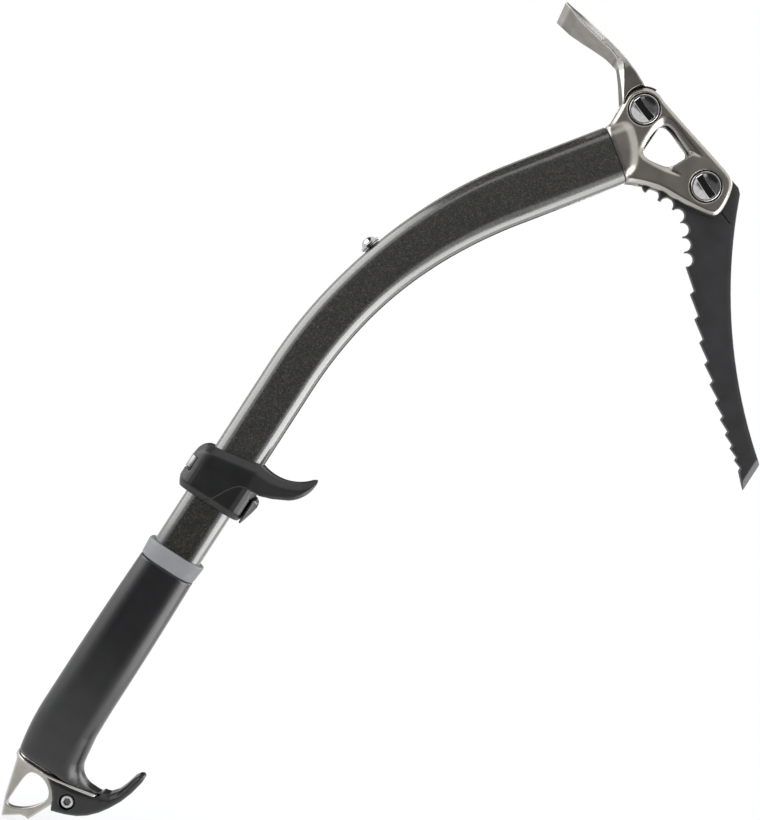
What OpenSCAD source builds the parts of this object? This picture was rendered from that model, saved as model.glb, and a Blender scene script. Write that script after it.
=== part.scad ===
// Ice climbing tool. Millimetres. +Z runs up the straight lower shaft, +X is the palm and pick side,
// and y = 0 is the middle plane. The origin is the middle of the hand grip.

/* [Shaft] */
// Depth of the lower shaft, back to palm side
shaft_depth = 26.4; // [25:0.1:29]
// Depth of the shaft at the head
shaft_top_depth = 30.6; // [29:0.1:34]
// Width of the shaft, side to side
shaft_width = 19.6; // [18:0.1:21]
// Corner radius of the shaft's section
shaft_corner = 7.5; // [5:0.1:9]
// Wall of the shaft's tube
shaft_wall = 1.8; // [1.4:0.1:2.4]
// Height of the bend's start above the grip's middle
bend_height = 183; // [170:1:200]
// Radius of the bend's centre line
bend_radius = 240; // [220:1:270]
// Angle of the bend
bend_angle = 36; // [30:0.5:40]
// Straight run from the bend to the head
top_run = 54.4; // [45:0.5:70]
// Run along the bend before the shaft starts to deepen
taper_delay = 46; // [20:1:60]

/* [Grip] */
// Length of the rubber grip
grip_length = 120; // [110:1:130]
// Rubber over the shaft at the grip's top
grip_wall_top = 2.0; // [1.5:0.1:3]
// Rubber over the shaft at the grip's middle
grip_wall = 3; // [2.5:0.1:4.5]
// Rubber over the shaft's sides at the grip's middle
grip_side_wall = 3.6; // [2.5:0.1:5]
// Length of the grey collar above the grip
collar_length = 10.4; // [8:0.1:16]
// Rubber over the shaft at the collar's top
collar_wall = 2.8; // [2.4:0.1:4]
// Width of the nose at the bottom of the grip
nose_width = 17; // [14:0.5:20]
// Reach of the nose in front of the shaft's axis
nose_reach = 33.5; // [31:0.5:36]

/* [Spike] */
// Thickness of the spike's blade
spike_thickness = 4.4; // [3.6:0.1:5]
// Thickness of the steel flange under the grip
flange_thickness = 1.4; // [1:0.1:2]
// Width of the steel flange
flange_width = 18; // [16:0.5:20]
// Depth of the spike's tip below the grip
spike_drop = 33.5; // [30:0.1:38]
// Length of the tang inside the shaft
tang_length = 38; // [30:1:45]
// Wall of the hollow tangs
tang_wall = 2.4; // [2:0.1:3]
// Diameter of the tang's cross pin
spike_pin_d = 5; // [4:0.1:6]

/* [Pinky hook] */
// Width of the hook at its root
hook_width = 16; // [14:0.5:18]
// Width of the hook at its tip
hook_tip_width = 11; // [8:0.5:13]
// Radius of the hook's outer sweep
hook_outer_r = 36.8; // [36:0.1:38.5]
// Radius of the hook's inner sweep
hook_inner_r = 16.8; // [15.8:0.1:17.4]
// Diameter of the hook's bolt
hook_bolt_d = 4; // [3:0.1:5]
// Diameter of the bolt's head
hook_bolt_head_d = 7; // [6:0.1:7.5]
// Width of the hook's nut across its flats
hook_nut_flats = 7; // [6:0.1:8]

/* [Trigger] */
// Height of the finger rest's lower lip above the grip's middle
trigger_height = 105.2; // [100:0.1:115]
// Wall of the collar at its sides
trigger_side_wall = 3.6; // [3:0.1:4.5]
// Wall of the collar at its front
trigger_front_wall = 4.6; // [4:0.1:5.5]
// Depth of the hinge block behind the shaft
trigger_back_depth = 7.9; // [7.6:0.1:9]
// Play between the collar and the shaft
slide_play = 0.3; // [0.2:0.05:0.5]
// Width of the trigger's hook at its tip
trigger_tip_width = 10; // [8:0.5:13]
// Height of the notch for the hinge plate
notch_height = 7.6; // [6.5:0.1:8.5]

/* [Lock lever] */
// Thickness of the lever
lever_thickness = 3.8; // [3:0.1:4.5]
// Height of the lever
lever_height = 16.4; // [15:0.1:16.6]
// Gap between the lever and the collar
lever_gap = 0.5; // [0.4:0.05:0.8]
// Diameter of the hinge pin
lever_pin_d = 3; // [2.5:0.1:3.5]
// Radial play of the hinge plate's eye on its pin
pin_play = 0.05; // [0.03:0.01:0.08]
// Thickness of the hinge plate's strap
strap_thickness = 1.4; // [1:0.1:1.8]
// Diameter of the tension screw
tension_screw_d = 4; // [3:0.1:4.5]

/* [Head] */
// Thickness of the head over its cheeks
head_thickness = 16; // [15.4:0.1:18]
// Step from the shaft's skin down to the head's socket
head_step = 0.6; // [0.3:0.1:1]
// Distance between the two pick bolts
bolt_spacing = 50.4; // [49:0.1:53]
// Diameter of the bolt heads
bolt_head_d = 15.5; // [14:0.1:16]
// Diameter of the counterbores
counterbore_d = 17; // [16.4:0.1:17.6]
// Depth of the counterbores
counterbore_depth = 2.6; // [2:0.1:3]
// Diameter of the bolts
bolt_d = 6; // [5:0.1:6.5]
// Outer diameter of the sleeve nuts
sleeve_d = 9; // [8:0.1:9.6]
// Width of the screwdriver slots
slot_width = 3.6; // [2.5:0.1:4]
// Length of the head's tang inside the shaft
head_tang = 34; // [26:1:42]
// Bevel of the cheeks' edges, along the face
cheek_bevel = 1.5; // [0.5:0.1:1.5]
// Bevel of the cheeks' edges, into the thickness
cheek_bevel_depth = 4.5; // [2:0.1:5]
// Corner radius of the clip hole
clip_corner = 2.6; // [2:0.1:3.2]
// Width of the bevelled rim round the clip hole
clip_rim = 2.2; // [1:0.1:2.6]

/* [Pick] */
// Thickness of the pick
pick_thickness = 4; // [3.2:0.1:4.4]
// Gap between the pick and each cheek
pick_gap = 0.1; // [0.05:0.05:0.3]
// Radius of the pick's round rear end
pick_rear_r = 12; // [11.5:0.1:12.5]
// Radius of the scallops under the head
scallop_r = 3.5; // [3:0.1:3.7]
// Number of teeth along the blade
tooth_count = 11; // [8:1:13]
// Depth of the first tooth
tooth_depth = 2.4; // [1.6:0.1:3]

/* [Adze] */
// Width of the adze at its edge
adze_width = 42; // [38:0.5:48]
// Width of the adze at its neck
adze_neck_width = 14; // [12:0.5:15]
// Thickness of the adze's lugs
lug_thickness = 2; // [1.6:0.1:2.3]
// Thickness of the adze's cutting edge
adze_edge = 1.4; // [1:0.1:2]

/* [Leash screw] */
// Angle along the bend at which the screw sits
leash_angle = 18; // [12:0.5:24]
// Diameter of the screw's dome
leash_head_d = 8.5; // [7:0.1:9.5]
// Height of the screw's dome
leash_head_h = 3.2; // [2.5:0.1:4]
// Diameter of the washer
leash_washer_d = 10.8; // [10:0.1:12]
// Thickness of the washer
leash_washer_t = 1.3; // [1:0.1:1.6]
// Diameter of the screw's thread
leash_thread_d = 5; // [4:0.1:5.4]
// Outer diameter of the threaded insert
insert_d = 7; // [6.6:0.1:8]

/* [Hidden] */
$fn = 48;
corner_steps = 7;
bend_steps = 18;
belt_steps = 8;
fit_gap = 0.05;
air = 1;
flats_per_corner = 0.866;
dark_metal = "#4a4840";
steel = "#a8a49a";
black_steel = "#3b3b3d";
black_plastic = "#2b2b2d";
black_rubber = "#343436";
grey_rubber = "#939799";
bright_steel = "#d0d0cc";

// The shaft's centre line, by distance s from the grip's middle
bend_length = bend_radius * bend_angle * PI / 180;
shaft_end = bend_height + bend_length + top_run;
function turn(s) = max(0, min(bend_angle, (s - bend_height) / bend_radius * 180 / PI));
function line_x(s) = bend_radius * (1 - cos(turn(s)))
    + max(0, s - bend_height - bend_length) * sin(bend_angle);
function line_z(s) = min(s, bend_height) + bend_radius * sin(turn(s))
    + max(0, s - bend_height - bend_length) * cos(bend_angle);
taper_end = bend_height + bend_length + top_run / 4;
taper_start = bend_height + taper_delay;
function ease(t) = (1 - cos(180 * max(0, min(1, t)))) / 2;
function depth_at(s) = shaft_depth
    + (shaft_top_depth - shaft_depth) * ease((s - taper_start) / (taper_end - taper_start));

// Rounded rectangles, as rings of points, anticlockwise from above
function corner_arc(x, y, r, start) = [for (i = [0:corner_steps])
    [x + r * cos(start + 90 * i / corner_steps), y + r * sin(start + 90 * i / corner_steps)]];
function rounded(d, w, r, shift = 0) = let (q = max(0.3, min(r, d / 2 - 0.1, w / 2 - 0.1))) concat(
    corner_arc(shift + d / 2 - q, w / 2 - q, q, 0),
    corner_arc(shift - d / 2 + q, w / 2 - q, q, 90),
    corner_arc(shift - d / 2 + q, -w / 2 + q, q, 180),
    corner_arc(shift + d / 2 - q, -w / 2 + q, q, 270));
function shaft_section(grow = 0, d = shaft_depth) =
    rounded(d + 2 * grow, shaft_width + 2 * grow, shaft_corner + grow);
function raise(ring, z) = [for (p = ring) [p.x, p.y, z]];
function shaft_ring(s, grow) = [for (p = shaft_section(grow, depth_at(s)))
    [line_x(s) + p.x * cos(turn(s)), p.y, line_z(s) - p.x * sin(turn(s))]];

// Skin between neighbouring rings of n points, the first ring starting at point number start
function skin(start, n, rings) = [for (k = [0:rings - 2], i = [0:n - 1])
    let (j = (i + 1) % n, a = start + k * n, b = a + n)
    each [[a + i, b + i, b + j], [a + i, b + j, a + j]]];
function flipped(faces) = [for (f = faces) [f[2], f[1], f[0]]];

// Closed solid through a list of rings
module loft(rings) {
    n = len(rings[0]);
    m = len(rings);
    top = [for (i = [n - 1:-1:0]) (m - 1) * n + i];
    polyhedron([for (ring = rings) each ring],
        concat(skin(0, n, m), [[for (i = [0:n - 1]) i], top]));
}

// Closed tube between two lists of rings
module tube(outer, inner) {
    n = len(outer[0]);
    m = len(outer);
    in0 = n * m;
    last = (m - 1) * n;
    ends = [for (i = [0:n - 1]) let (j = (i + 1) % n) each [
        [i, j, in0 + j], [i, in0 + j, in0 + i],
        [last + j, last + i, in0 + last + i], [last + j, in0 + last + i, in0 + last + j]]];
    polyhedron([for (ring = concat(outer, inner)) each ring],
        concat(skin(0, n, m), flipped(skin(in0, n, m)), ends));
}

// Outline round circles [x, y, r], listed anticlockwise, joined by their outer tangents
function outward(a, b) = let (d = norm([b.x - a.x, b.y - a.y]))
    atan2(b.y - a.y, b.x - a.x) - acos((a[2] - b[2]) / d);
function bent(c, from, to) = let (sweep = ((to - from) % 360 + 360) % 360)
    [for (i = [0:belt_steps]) c + c[2] * [cos(from + sweep * i / belt_steps), sin(from + sweep * i / belt_steps), 0]];
function belt_points(circles) = let (n = len(circles)) [for (i = [0:n - 1])
    let (c = circles[i], from = outward(circles[(i + n - 1) % n], c), to = outward(c, circles[(i + 1) % n]))
    each (c[2] > 0 ? [for (p = bent(c, from, to)) [p.x, p.y]] : [[c.x, c.y]])];
module belt(circles) polygon(belt_points(circles));
function grown(circles, extra) = [for (c = circles) [c.x, c.y, c[2] + extra]];
function arc(x, y, r, from, to, steps = 12) = [for (i = [0:steps])
    let (t = from + (to - from) * i / steps) [x + r * cos(t), y + r * sin(t)]];

// Solids drawn in x and z, between two values of y
module slab(y0, y1) translate([0, y1, 0]) rotate([90, 0, 0]) linear_extrude(y1 - y0) children();
module plate(t) slab(-t / 2, t / 2) children();
module across(x, z, d, y0, y1) translate([x, y0, z]) rotate([-90, 0, 0]) cylinder(d = d, h = y1 - y0);
module upright(ring, z0, z1) translate([0, 0, z0]) linear_extrude(z1 - z0) polygon(ring);

// Butt of the tool: the line on which the rubber ends and the steel flange starts
butt_z = -grip_length / 2 + 5.7;
grip_top = butt_z + grip_length;
knee_x = 6;
nose_rise = 3.5;
back_x = -shaft_depth / 2 + 0.4;
butt_line = [[back_x, butt_z], [knee_x, butt_z], [nose_reach, butt_z + nose_rise]];
function lowered(points, drop) = [for (p = points) [p.x, p.y - drop]];
hook_line = lowered(butt_line, flange_thickness + fit_gap);

// SHAFT
shaft_bottom = butt_z + 2;
module shaft() color(dark_metal) difference() {
    stations = concat([shaft_bottom],
        [for (i = [0:bend_steps]) bend_height + bend_length * i / bend_steps], [taper_end, shaft_end]);
    tube([for (s = stations) shaft_ring(s, 0)], [for (s = stations) shaft_ring(s, -shaft_wall)]);
    across(0, spike_pin_z, spike_pin_d, -shaft_width, shaft_width);
    leash_frame() cylinder(d = insert_d + 2 * fit_gap, h = 4 * shaft_wall, center = true);
}

// GRIP
function grip_bulge(t) = grip_wall_top + (grip_wall - grip_wall_top) * sin(90 * min(1, (1 - t) / 0.55));
grip_pull = 2.6;
function grip_ring(t) = let (
        w = grip_bulge(t),
        low = max(0, 1 - t / 0.42),
        front = w + 2.2 * low * low,
        back = grip_wall_top - grip_pull * low * low)
    rounded(shaft_depth + front + back, shaft_width + 2 * (w + grip_side_wall - grip_wall),
        shaft_corner + w, (front - back) / 2);
nose_r = 10;
nose_thickness = 3.2;
module nose_outline() difference() {
    polygon(concat(butt_line, [[nose_reach + 0.6, butt_z + nose_rise + nose_thickness],
        [shaft_depth / 2, butt_z + 60], [0, butt_z + 60]]));
    belt([[shaft_depth / 2 + grip_wall + 1.2 + nose_r, butt_z + nose_rise + nose_thickness + nose_r, nose_r],
        [nose_reach + 9, butt_z + nose_rise + nose_thickness + nose_r, nose_r],
        [shaft_depth / 2 + grip_wall - 0.8 + nose_r, butt_z + 52, nose_r]]);
}
module grip() color(black_rubber) difference() {
    union() {
        loft([for (i = [0:12]) raise(grip_ring(i / 12), butt_z + grip_length * i / 12)]);
        plate(nose_width) nose_outline();
    }
    upright(shaft_section(fit_gap), butt_z - air, grip_top + air);
    plate(nose_width + air) polygon(concat(lowered(butt_line, 0), [[nose_reach, butt_z - 9], [back_x, butt_z - 9]]));
}
module grip_collar() color(grey_rubber) difference() {
    loft([for (i = [0:1]) let (w = grip_wall_top + (collar_wall - grip_wall_top) * i)
        raise(rounded(shaft_depth + 2 * w, shaft_width + 2 * (w + grip_side_wall - grip_wall), shaft_corner + w),
            grip_top + fit_gap + collar_length * i)]);
    upright(shaft_section(fit_gap), grip_top - air, grip_top + collar_length + air);
}

// SPIKE
spike_pin_z = shaft_bottom + tang_length * 0.6;
hook_bolt_x = 22.4;
hook_bolt_z = butt_z - 7.4;
lug_r = 5;
clip_low = spike_drop - 9.4;
spike_hole = [[-1.8, -9.7, 2.9], [-2.2, -clip_low, 2.6], [5, -clip_low + 2.8, 3], [10.4, -14.5, 3.2],
    [5.8, -8.9, 3.2]];
module spike_outline() {
    difference() {
        polygon([[back_x, butt_z - flange_thickness / 2], [-6.3, butt_z - spike_drop + 9.4],
            [-2.4, butt_z - spike_drop], [5.6, butt_z - spike_drop + 5.5], [7.8, butt_z - spike_drop + 6],
            [10.2, butt_z - spike_drop + 5.7], [hook_bolt_x - lug_r, hook_bolt_z - lug_r],
            [hook_bolt_x, hook_bolt_z], [hook_bolt_x, butt_z + 1]]);
        translate([0, butt_z]) belt(spike_hole);
    }
    belt([[hook_bolt_x - lug_r, butt_z, 0], [hook_bolt_x, hook_bolt_z, lug_r], [hook_bolt_x + lug_r, butt_z, 0]]);
}
module below_flange() polygon(concat(lowered(butt_line, flange_thickness / 2),
    [[60, butt_z - 60], [-60, butt_z - 60]]));
module spike() color(steel) difference() {
    union() {
        plate(spike_thickness) intersection() {
            spike_outline();
            below_flange();
        }
        plate(flange_width) polygon(concat(lowered(butt_line, fit_gap),
            [for (i = [2:-1:0]) butt_line[i] - [0, flange_thickness]]));
        difference() {
            upright(shaft_section(-shaft_wall - fit_gap), butt_z - flange_thickness / 2, shaft_bottom + tang_length);
            upright(shaft_section(-shaft_wall - fit_gap - tang_wall), shaft_bottom + tang_wall,
                shaft_bottom + tang_length + air);
        }
    }
    across(0, spike_pin_z, spike_pin_d, -shaft_width, shaft_width);
    across(hook_bolt_x, hook_bolt_z, hook_bolt_d + 2 * fit_gap, -hook_width, hook_width);
}
module spike_pin() color(bright_steel)
    across(0, spike_pin_z, spike_pin_d - fit_gap, -shaft_width / 2 + fit_gap, shaft_width / 2 - fit_gap);

// PINKY HOOK
hook_x = 11;
hook_z = butt_z + 20.1;
hook_in_x = 29.2;
hook_in_z = butt_z + 22.2;
hook_head_depth = 3.4;
hook_nut_depth = 3.2;
hook_slot = spike_thickness + 4 * fit_gap;
hook_back_x = 4.8;
hook_heel = [[14.7, butt_z - 10.9], [10.4, butt_z - 6.1]];
hook_clear = [[nose_reach + 6, butt_z + 40], [nose_reach - 8, butt_z + 40], [0, butt_z + 40]];
hook_end_x = 52;
hook_height = 90;
lug_gap = 0.4;
module hook_outline() {
    difference() {
        polygon(concat([[hook_back_x, hook_line[1].y], hook_line[1], hook_line[2]],
            arc(hook_in_x, hook_in_z, hook_inner_r, -64, -2),
            arc(hook_x, hook_z, hook_outer_r, 2, -80, 20),
            hook_heel));
        polygon(concat(hook_line, hook_clear));
    }
}
module hook_plan() polygon([[0, -hook_width / 2], [nose_reach, -hook_width / 2], [hook_end_x, -hook_tip_width / 2],
    [hook_end_x, hook_tip_width / 2], [nose_reach, hook_width / 2], [0, hook_width / 2]]);
module pinky_hook() color(black_plastic) difference() {
    intersection() {
        plate(hook_width) hook_outline();
        translate([0, 0, butt_z - hook_height / 2]) linear_extrude(hook_height) hook_plan();
    }
    plate(hook_slot) {
        translate([hook_bolt_x, hook_bolt_z]) circle(lug_r + lug_gap);
        translate([0, hook_bolt_z - hook_width]) square([hook_bolt_x, hook_height]);
        translate([0, hook_bolt_z]) square([hook_bolt_x + lug_r + lug_gap, hook_height]);
    }
    across(hook_bolt_x, hook_bolt_z, hook_bolt_d + 2 * fit_gap, -hook_width, hook_width);
    across(hook_bolt_x, hook_bolt_z, hook_bolt_head_d + 2 * lug_gap, -hook_width, -hook_width / 2 + hook_head_depth);
    translate([hook_bolt_x, hook_width / 2 - hook_nut_depth, hook_bolt_z]) rotate([-90, 0, 0])
        cylinder(d = (hook_nut_flats + 4 * fit_gap) / flats_per_corner, h = hook_width, $fn = 6);
}
module hook_bolt() color(bright_steel) difference() {
    union() {
        across(hook_bolt_x, hook_bolt_z, hook_bolt_d, -hook_width / 2 + 1, hook_width / 2 - 0.6);
        across(hook_bolt_x, hook_bolt_z, hook_bolt_head_d, -hook_width / 2 + 0.4,
            -hook_width / 2 + hook_head_depth - fit_gap);
    }
    translate([hook_bolt_x, -hook_width / 2, hook_bolt_z]) rotate([-90, 0, 0])
        cylinder(d = hook_bolt_head_d * 0.5, h = hook_head_depth - 1, $fn = 6);
}
module hook_nut() color(bright_steel) difference() {
    translate([hook_bolt_x, hook_width / 2 - hook_nut_depth + fit_gap, hook_bolt_z]) rotate([-90, 0, 0])
        cylinder(d = hook_nut_flats / flats_per_corner, h = hook_nut_depth - 0.4, $fn = 6);
    across(hook_bolt_x, hook_bolt_z, hook_bolt_d + 2 * fit_gap, -hook_width, hook_width);
}

// TRIGGER
lip_z = trigger_height;
notch_z = lip_z + 9.5;
back_wall_x = -shaft_depth / 2 - trigger_back_depth;
front_x = shaft_depth / 2 + trigger_front_wall;
side_y = shaft_width / 2 + trigger_side_wall;
eye_r = (trigger_back_depth - slide_play - 0.2) / 2;
pin_x = back_wall_x + eye_r;
pin_y = 3;
pin_low = lip_z + 1.5;
pin_high = lip_z + 24;
hook_top_r = 24.4;
hook_low_r = 17.2;
trigger_back = [[back_wall_x + 3.7, lip_z + 0.2], [back_wall_x, lip_z + 4.8], [back_wall_x, lip_z + 17],
    [back_wall_x + 1.1, lip_z + 23.7], [back_wall_x + 4.5, lip_z + 25.9], [0, lip_z + 29]];
trigger_front = [[front_x + 1.6, lip_z + 17.2], [front_x, lip_z + 16.4], [front_x, lip_z]];
rest_top = [shaft_depth / 2 + 6.9, lip_z + 55.8];
rest_low = [shaft_depth / 2 + 11.1, lip_z + 37.8];
rest_end_x = shaft_depth / 2 + 30;
rest_shoulder = 3.4;
collar_back_r = 7;
collar_front_r = 8;
trigger_room = 60;
slit_width = 1.2;
module trigger_outline() polygon(concat(trigger_back,
    arc(rest_top.x, rest_top.y, hook_top_r, -106, -40, 10),
    arc(rest_low.x, rest_low.y, hook_low_r, 10, -57, 10),
    trigger_front));
module collar_plan() belt([[back_wall_x + collar_back_r, side_y - collar_back_r, collar_back_r],
    [back_wall_x + collar_back_r, -side_y + collar_back_r, collar_back_r],
    [front_x - collar_front_r, -side_y + collar_front_r, collar_front_r],
    [front_x - collar_front_r, side_y - collar_front_r, collar_front_r]]);
module rest_plan() polygon([[0, -side_y + air], [front_x, -side_y + rest_shoulder],
    [rest_end_x, -trigger_tip_width / 2], [rest_end_x, trigger_tip_width / 2],
    [front_x, side_y - rest_shoulder], [0, side_y - air]]);
module trigger_body() color(black_plastic) difference() {
    intersection() {
        plate(2 * side_y) trigger_outline();
        union() {
            translate([0, 0, lip_z - air]) linear_extrude(trigger_room) collar_plan();
            translate([0, 0, lever_low + lever_height + lever_gap]) linear_extrude(trigger_room) rest_plan();
        }
    }
    upright(shaft_section(slide_play), lip_z - 2 * air, lip_z + trigger_room);
    translate([back_wall_x - air, -side_y / 2, notch_z]) cube([trigger_back_depth + air, 2 * side_y, notch_height]);
    translate([back_wall_x - air, pin_y + eye_r + air, lip_z - air])
        cube([trigger_back_depth + 4 * air, slit_width, trigger_room]);
    translate([pin_x, pin_y, lip_z - air]) cylinder(d = lever_pin_d, h = trigger_room);
}
module lever_pin() color(bright_steel)
    translate([pin_x, pin_y, pin_low]) cylinder(d = lever_pin_d - fit_gap, h = pin_high - pin_low);

// LOCK LEVER
lever_low = lip_z + 0.2;
lever_in_y = side_y + lever_gap;
lever_out_y = lever_in_y + lever_thickness;
lever_front_x = front_x + lever_gap;
lever_start_x = -shaft_depth / 2 + 1;
screw_x = -shaft_depth / 2 + 8;
screw_z = notch_z + notch_height / 2;
strap_y = lever_in_y + strap_thickness;
module lever_plan() difference() {
    belt([[lever_start_x + 1.8, lever_out_y - 1.8, 1.8], [lever_start_x + 1.8, 0, 1.8],
        [lever_front_x + lever_thickness - 1.8, 0.8, 1.8],
        [lever_front_x + lever_thickness - 9, lever_out_y - 9, 9]]);
    belt([[lever_start_x - 20, lever_in_y - 1, 1], [lever_start_x - 20, -20, 1], [lever_front_x - 1, -20, 1],
        [lever_front_x - 8, lever_in_y - 8, 8]]);
}
module lever_side() polygon([[lever_start_x, lever_low], [lever_front_x + 1, lever_low],
    [lever_front_x + lever_thickness + 0.1, lever_low + 10.2],
    [lever_front_x + lever_thickness - 0.6, lever_low + 13],
    [lever_front_x + 1, lever_low + 14.3], [lever_front_x - 8, lever_low + lever_height],
    [lever_start_x, lever_low + lever_height]]);
module lock_lever() color(black_plastic) difference() {
    intersection() {
        translate([0, 0, lever_low]) linear_extrude(lever_height) lever_plan();
        slab(-side_y, 2 * side_y) lever_side();
    }
    translate([lever_start_x - 20, lever_in_y - air, notch_z + fit_gap])
        cube([20 + screw_x - lever_start_x + 8, strap_thickness + fit_gap + air, notch_height - 2 * fit_gap]);
    across(screw_x, screw_z, tension_screw_d + 2 * fit_gap, 0, 40);
    across(screw_x, screw_z, tension_screw_d * 1.8 + 4 * fit_gap, lever_out_y - 1.4, 40);
}
module hinge_plate() color(bright_steel) difference() {
    translate([0, 0, notch_z + 0.2]) linear_extrude(notch_height - 0.4) {
        translate([pin_x, pin_y]) circle(eye_r);
        polygon([[pin_x - eye_r, pin_y], [pin_x - eye_r + strap_thickness, pin_y], [lever_start_x - 4, lever_in_y],
            [screw_x + 7, lever_in_y], [screw_x + 7, strap_y], [lever_start_x - 5, strap_y]]);
    }
    translate([pin_x, pin_y, notch_z]) cylinder(d = lever_pin_d - fit_gap + 2 * pin_play, h = notch_height);
    across(screw_x, screw_z, tension_screw_d + 2 * fit_gap, 0, 40);
}
module tension_screw() color(bright_steel) difference() {
    union() {
        across(screw_x, screw_z, tension_screw_d, lever_in_y + 0.1, lever_out_y - 1);
        across(screw_x, screw_z, tension_screw_d * 1.8, lever_out_y - 1.4 + fit_gap, lever_out_y + 0.4);
    }
    translate([screw_x, lever_out_y - 0.8, screw_z]) rotate([-90, 0, 0])
        cylinder(d = tension_screw_d * 0.7, h = 5, $fn = 6);
}

// HEAD, in its own frame: x to the palm side, z on along the upper shaft
module head_frame() translate([line_x(shaft_end), 0, line_z(shaft_end)]) rotate([0, bend_angle, 0]) children();
upper_x = -16;
upper_z = 22;
bolt_tilt = 17.5;
lower_x = upper_x + bolt_spacing * cos(bolt_tilt);
lower_z = upper_z + bolt_spacing * sin(bolt_tilt);
cheek_r = 10.6;
tang_play = 0.4;
tang_depth = shaft_top_depth - tang_play;
socket = shaft_top_depth / 2 - head_step;
head_loop = [[upper_x, upper_z, cheek_r], [15.2, 6.5, 1.6], [lower_x + 10.7, lower_z - 0.6, 4.8],
    [lower_x - 1.8, lower_z + 9.8, 5.2]];
clip_loop = [[-4.2, 28.6, clip_corner], [5.4, 14.8, clip_corner], [17.4, 26, clip_corner],
    [14.2, 35.8, clip_corner]];
slot_y = pick_thickness / 2 + pick_gap;
pocket_y = slot_y + lug_thickness + pick_gap;
floor_z = upper_z - pick_rear_r - 0.6;
lug_round = 9.4;
module slot_region() polygon([[-60, floor_z], [upper_x, floor_z], [22, floor_z - 3.6], [90, floor_z - 10], [90, 90],
    [-60, 90]]);
module pocket_region() {
    translate([upper_x, upper_z]) circle(lug_round + 0.3);
    translate([upper_x - 40, upper_z - lug_round - 0.3]) square([40, 2 * lug_round + 0.6]);
}
module bolt_cuts(d, x, z) {
    across(x, z, d, -40, 40);
    for (side = [-1, 1]) translate([x, side * (head_thickness / 2 + 10 - counterbore_depth), z])
        rotate([90, 0, 0]) cylinder(d = counterbore_d, h = 20, center = true);
}
module head() color(steel) head_frame() difference() {
    union() {
        hull() {
            plate(head_thickness) belt(grown(head_loop, -cheek_bevel));
            plate(head_thickness - 2 * cheek_bevel_depth) belt(head_loop);
        }
        hull() {
            upright(rounded(2 * socket, shaft_width - 2 * head_step, shaft_corner - head_step), fit_gap, 0.6);
            translate([0, 0, 13]) linear_extrude(0.6)
                polygon(rounded(44, head_thickness - 0.6, 1.5, -1));
        }
        difference() {
            upright(shaft_section(-shaft_wall - fit_gap, tang_depth), -head_tang, tang_wall);
            upright(shaft_section(-shaft_wall - fit_gap - tang_wall, tang_depth), -head_tang - air, -tang_wall);
        }
    }
    plate(2 * slot_y) slot_region();
    plate(2 * pocket_y) pocket_region();
    plate(40) belt(clip_loop);
    for (side = [-1, 1]) translate([0, side * (head_thickness / 2 + 4), 0])
        plate(10) belt(grown(clip_loop, clip_rim));
    bolt_cuts(sleeve_d + 2 * fit_gap, upper_x, upper_z);
    bolt_cuts(sleeve_d + 2 * fit_gap, lower_x, lower_z);
}

// PICK
tip_x = 184.9;
tip_z = 0;
spine_r = 270;
belly_r = 460;
rear_shift = [-0.9, 1.5];
// Point at a share of the arc of radius r from a to b that bows to the right of the way
function bow(a, b, r, share) = let (
        d = norm(b - a),
        t = (b - a) / d,
        m = (a + b) / 2 + [-t.y, t.x] * sqrt(r * r - d * d / 4),
        turned = atan2(a.y - m.y, a.x - m.x) + 2 * asin(d / 2 / r) * share)
    m + r * [cos(turned), sin(turned)];
// Scallops under the head: runs of equal pitch from [x, z] to the next corner, with their counts
scallop_corners = [[22.9, 8.3], [37, 18.9], [44.2, 20], [67, 14.3]];
scallop_counts = [2, 1, 3];
scallop_lift = 0.9;
tooth_thinning = 0.45;
// Share of the toothed edge before tooth i: the pitch shrinks towards the tip
function tooth_share(i) = i / tooth_count * (1 + tooth_thinning * (1 - i / tooth_count));
tooth_line = [for (i = [0:tooth_count])
    bow(scallop_corners[3], [tip_x - 10.3, tip_z + 1.6], belly_r, tooth_share(i))];
tooth_face = 1.4;
// The valley in front of tooth i, shallower towards the tip
function valley(i) = let (
        t = (tooth_line[i] - tooth_line[i - 1]) / norm(tooth_line[i] - tooth_line[i - 1]),
        h = tooth_depth * (1 - 0.4 * i / tooth_count))
    tooth_line[i] - t * tooth_face + [-t.y, t.x] * h;
shoulder = [lower_x + 6.2, lower_z + 16.4];
spine_start = [lower_x + 12.1, lower_z + 15.1];
spine_tip = [tip_x - 9.3, tip_z + 12.9];
spine_steps = 20;
module pick_outline() {
    polygon(concat(
        [[upper_x, upper_z - 9], [21.4, 7.9]],
        scallop_corners,
        [for (i = [1:tooth_count]) each [valley(i), tooth_line[i]]],
        [[tip_x, tip_z]],
        [for (i = [spine_steps:-1:0]) bow(spine_start, spine_tip, spine_r, i / spine_steps)],
        [shoulder, [lower_x - 3, lower_z + 13.4], [upper_x, upper_z + 9]]));
    translate([upper_x, upper_z] + rear_shift) circle(pick_rear_r);
}
module pick() color(black_steel) head_frame() difference() {
    plate(pick_thickness) pick_outline();
    for (k = [0:2], i = [1:scallop_counts[k]]) {
        run = (scallop_corners[k + 1] - scallop_corners[k]) / scallop_counts[k];
        c = scallop_corners[k] + run * (i - 0.5) + [-run.y, run.x] / norm(run) * scallop_lift;
        across(c.x, c.y, 2 * scallop_r, -20, 20);
    }
    plate(20) belt(grown(clip_loop, -1));
    across(upper_x, upper_z, sleeve_d + 2 * fit_gap, -20, 20);
    across(lower_x, lower_z, sleeve_d + 2 * fit_gap, -20, 20);
}

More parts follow.
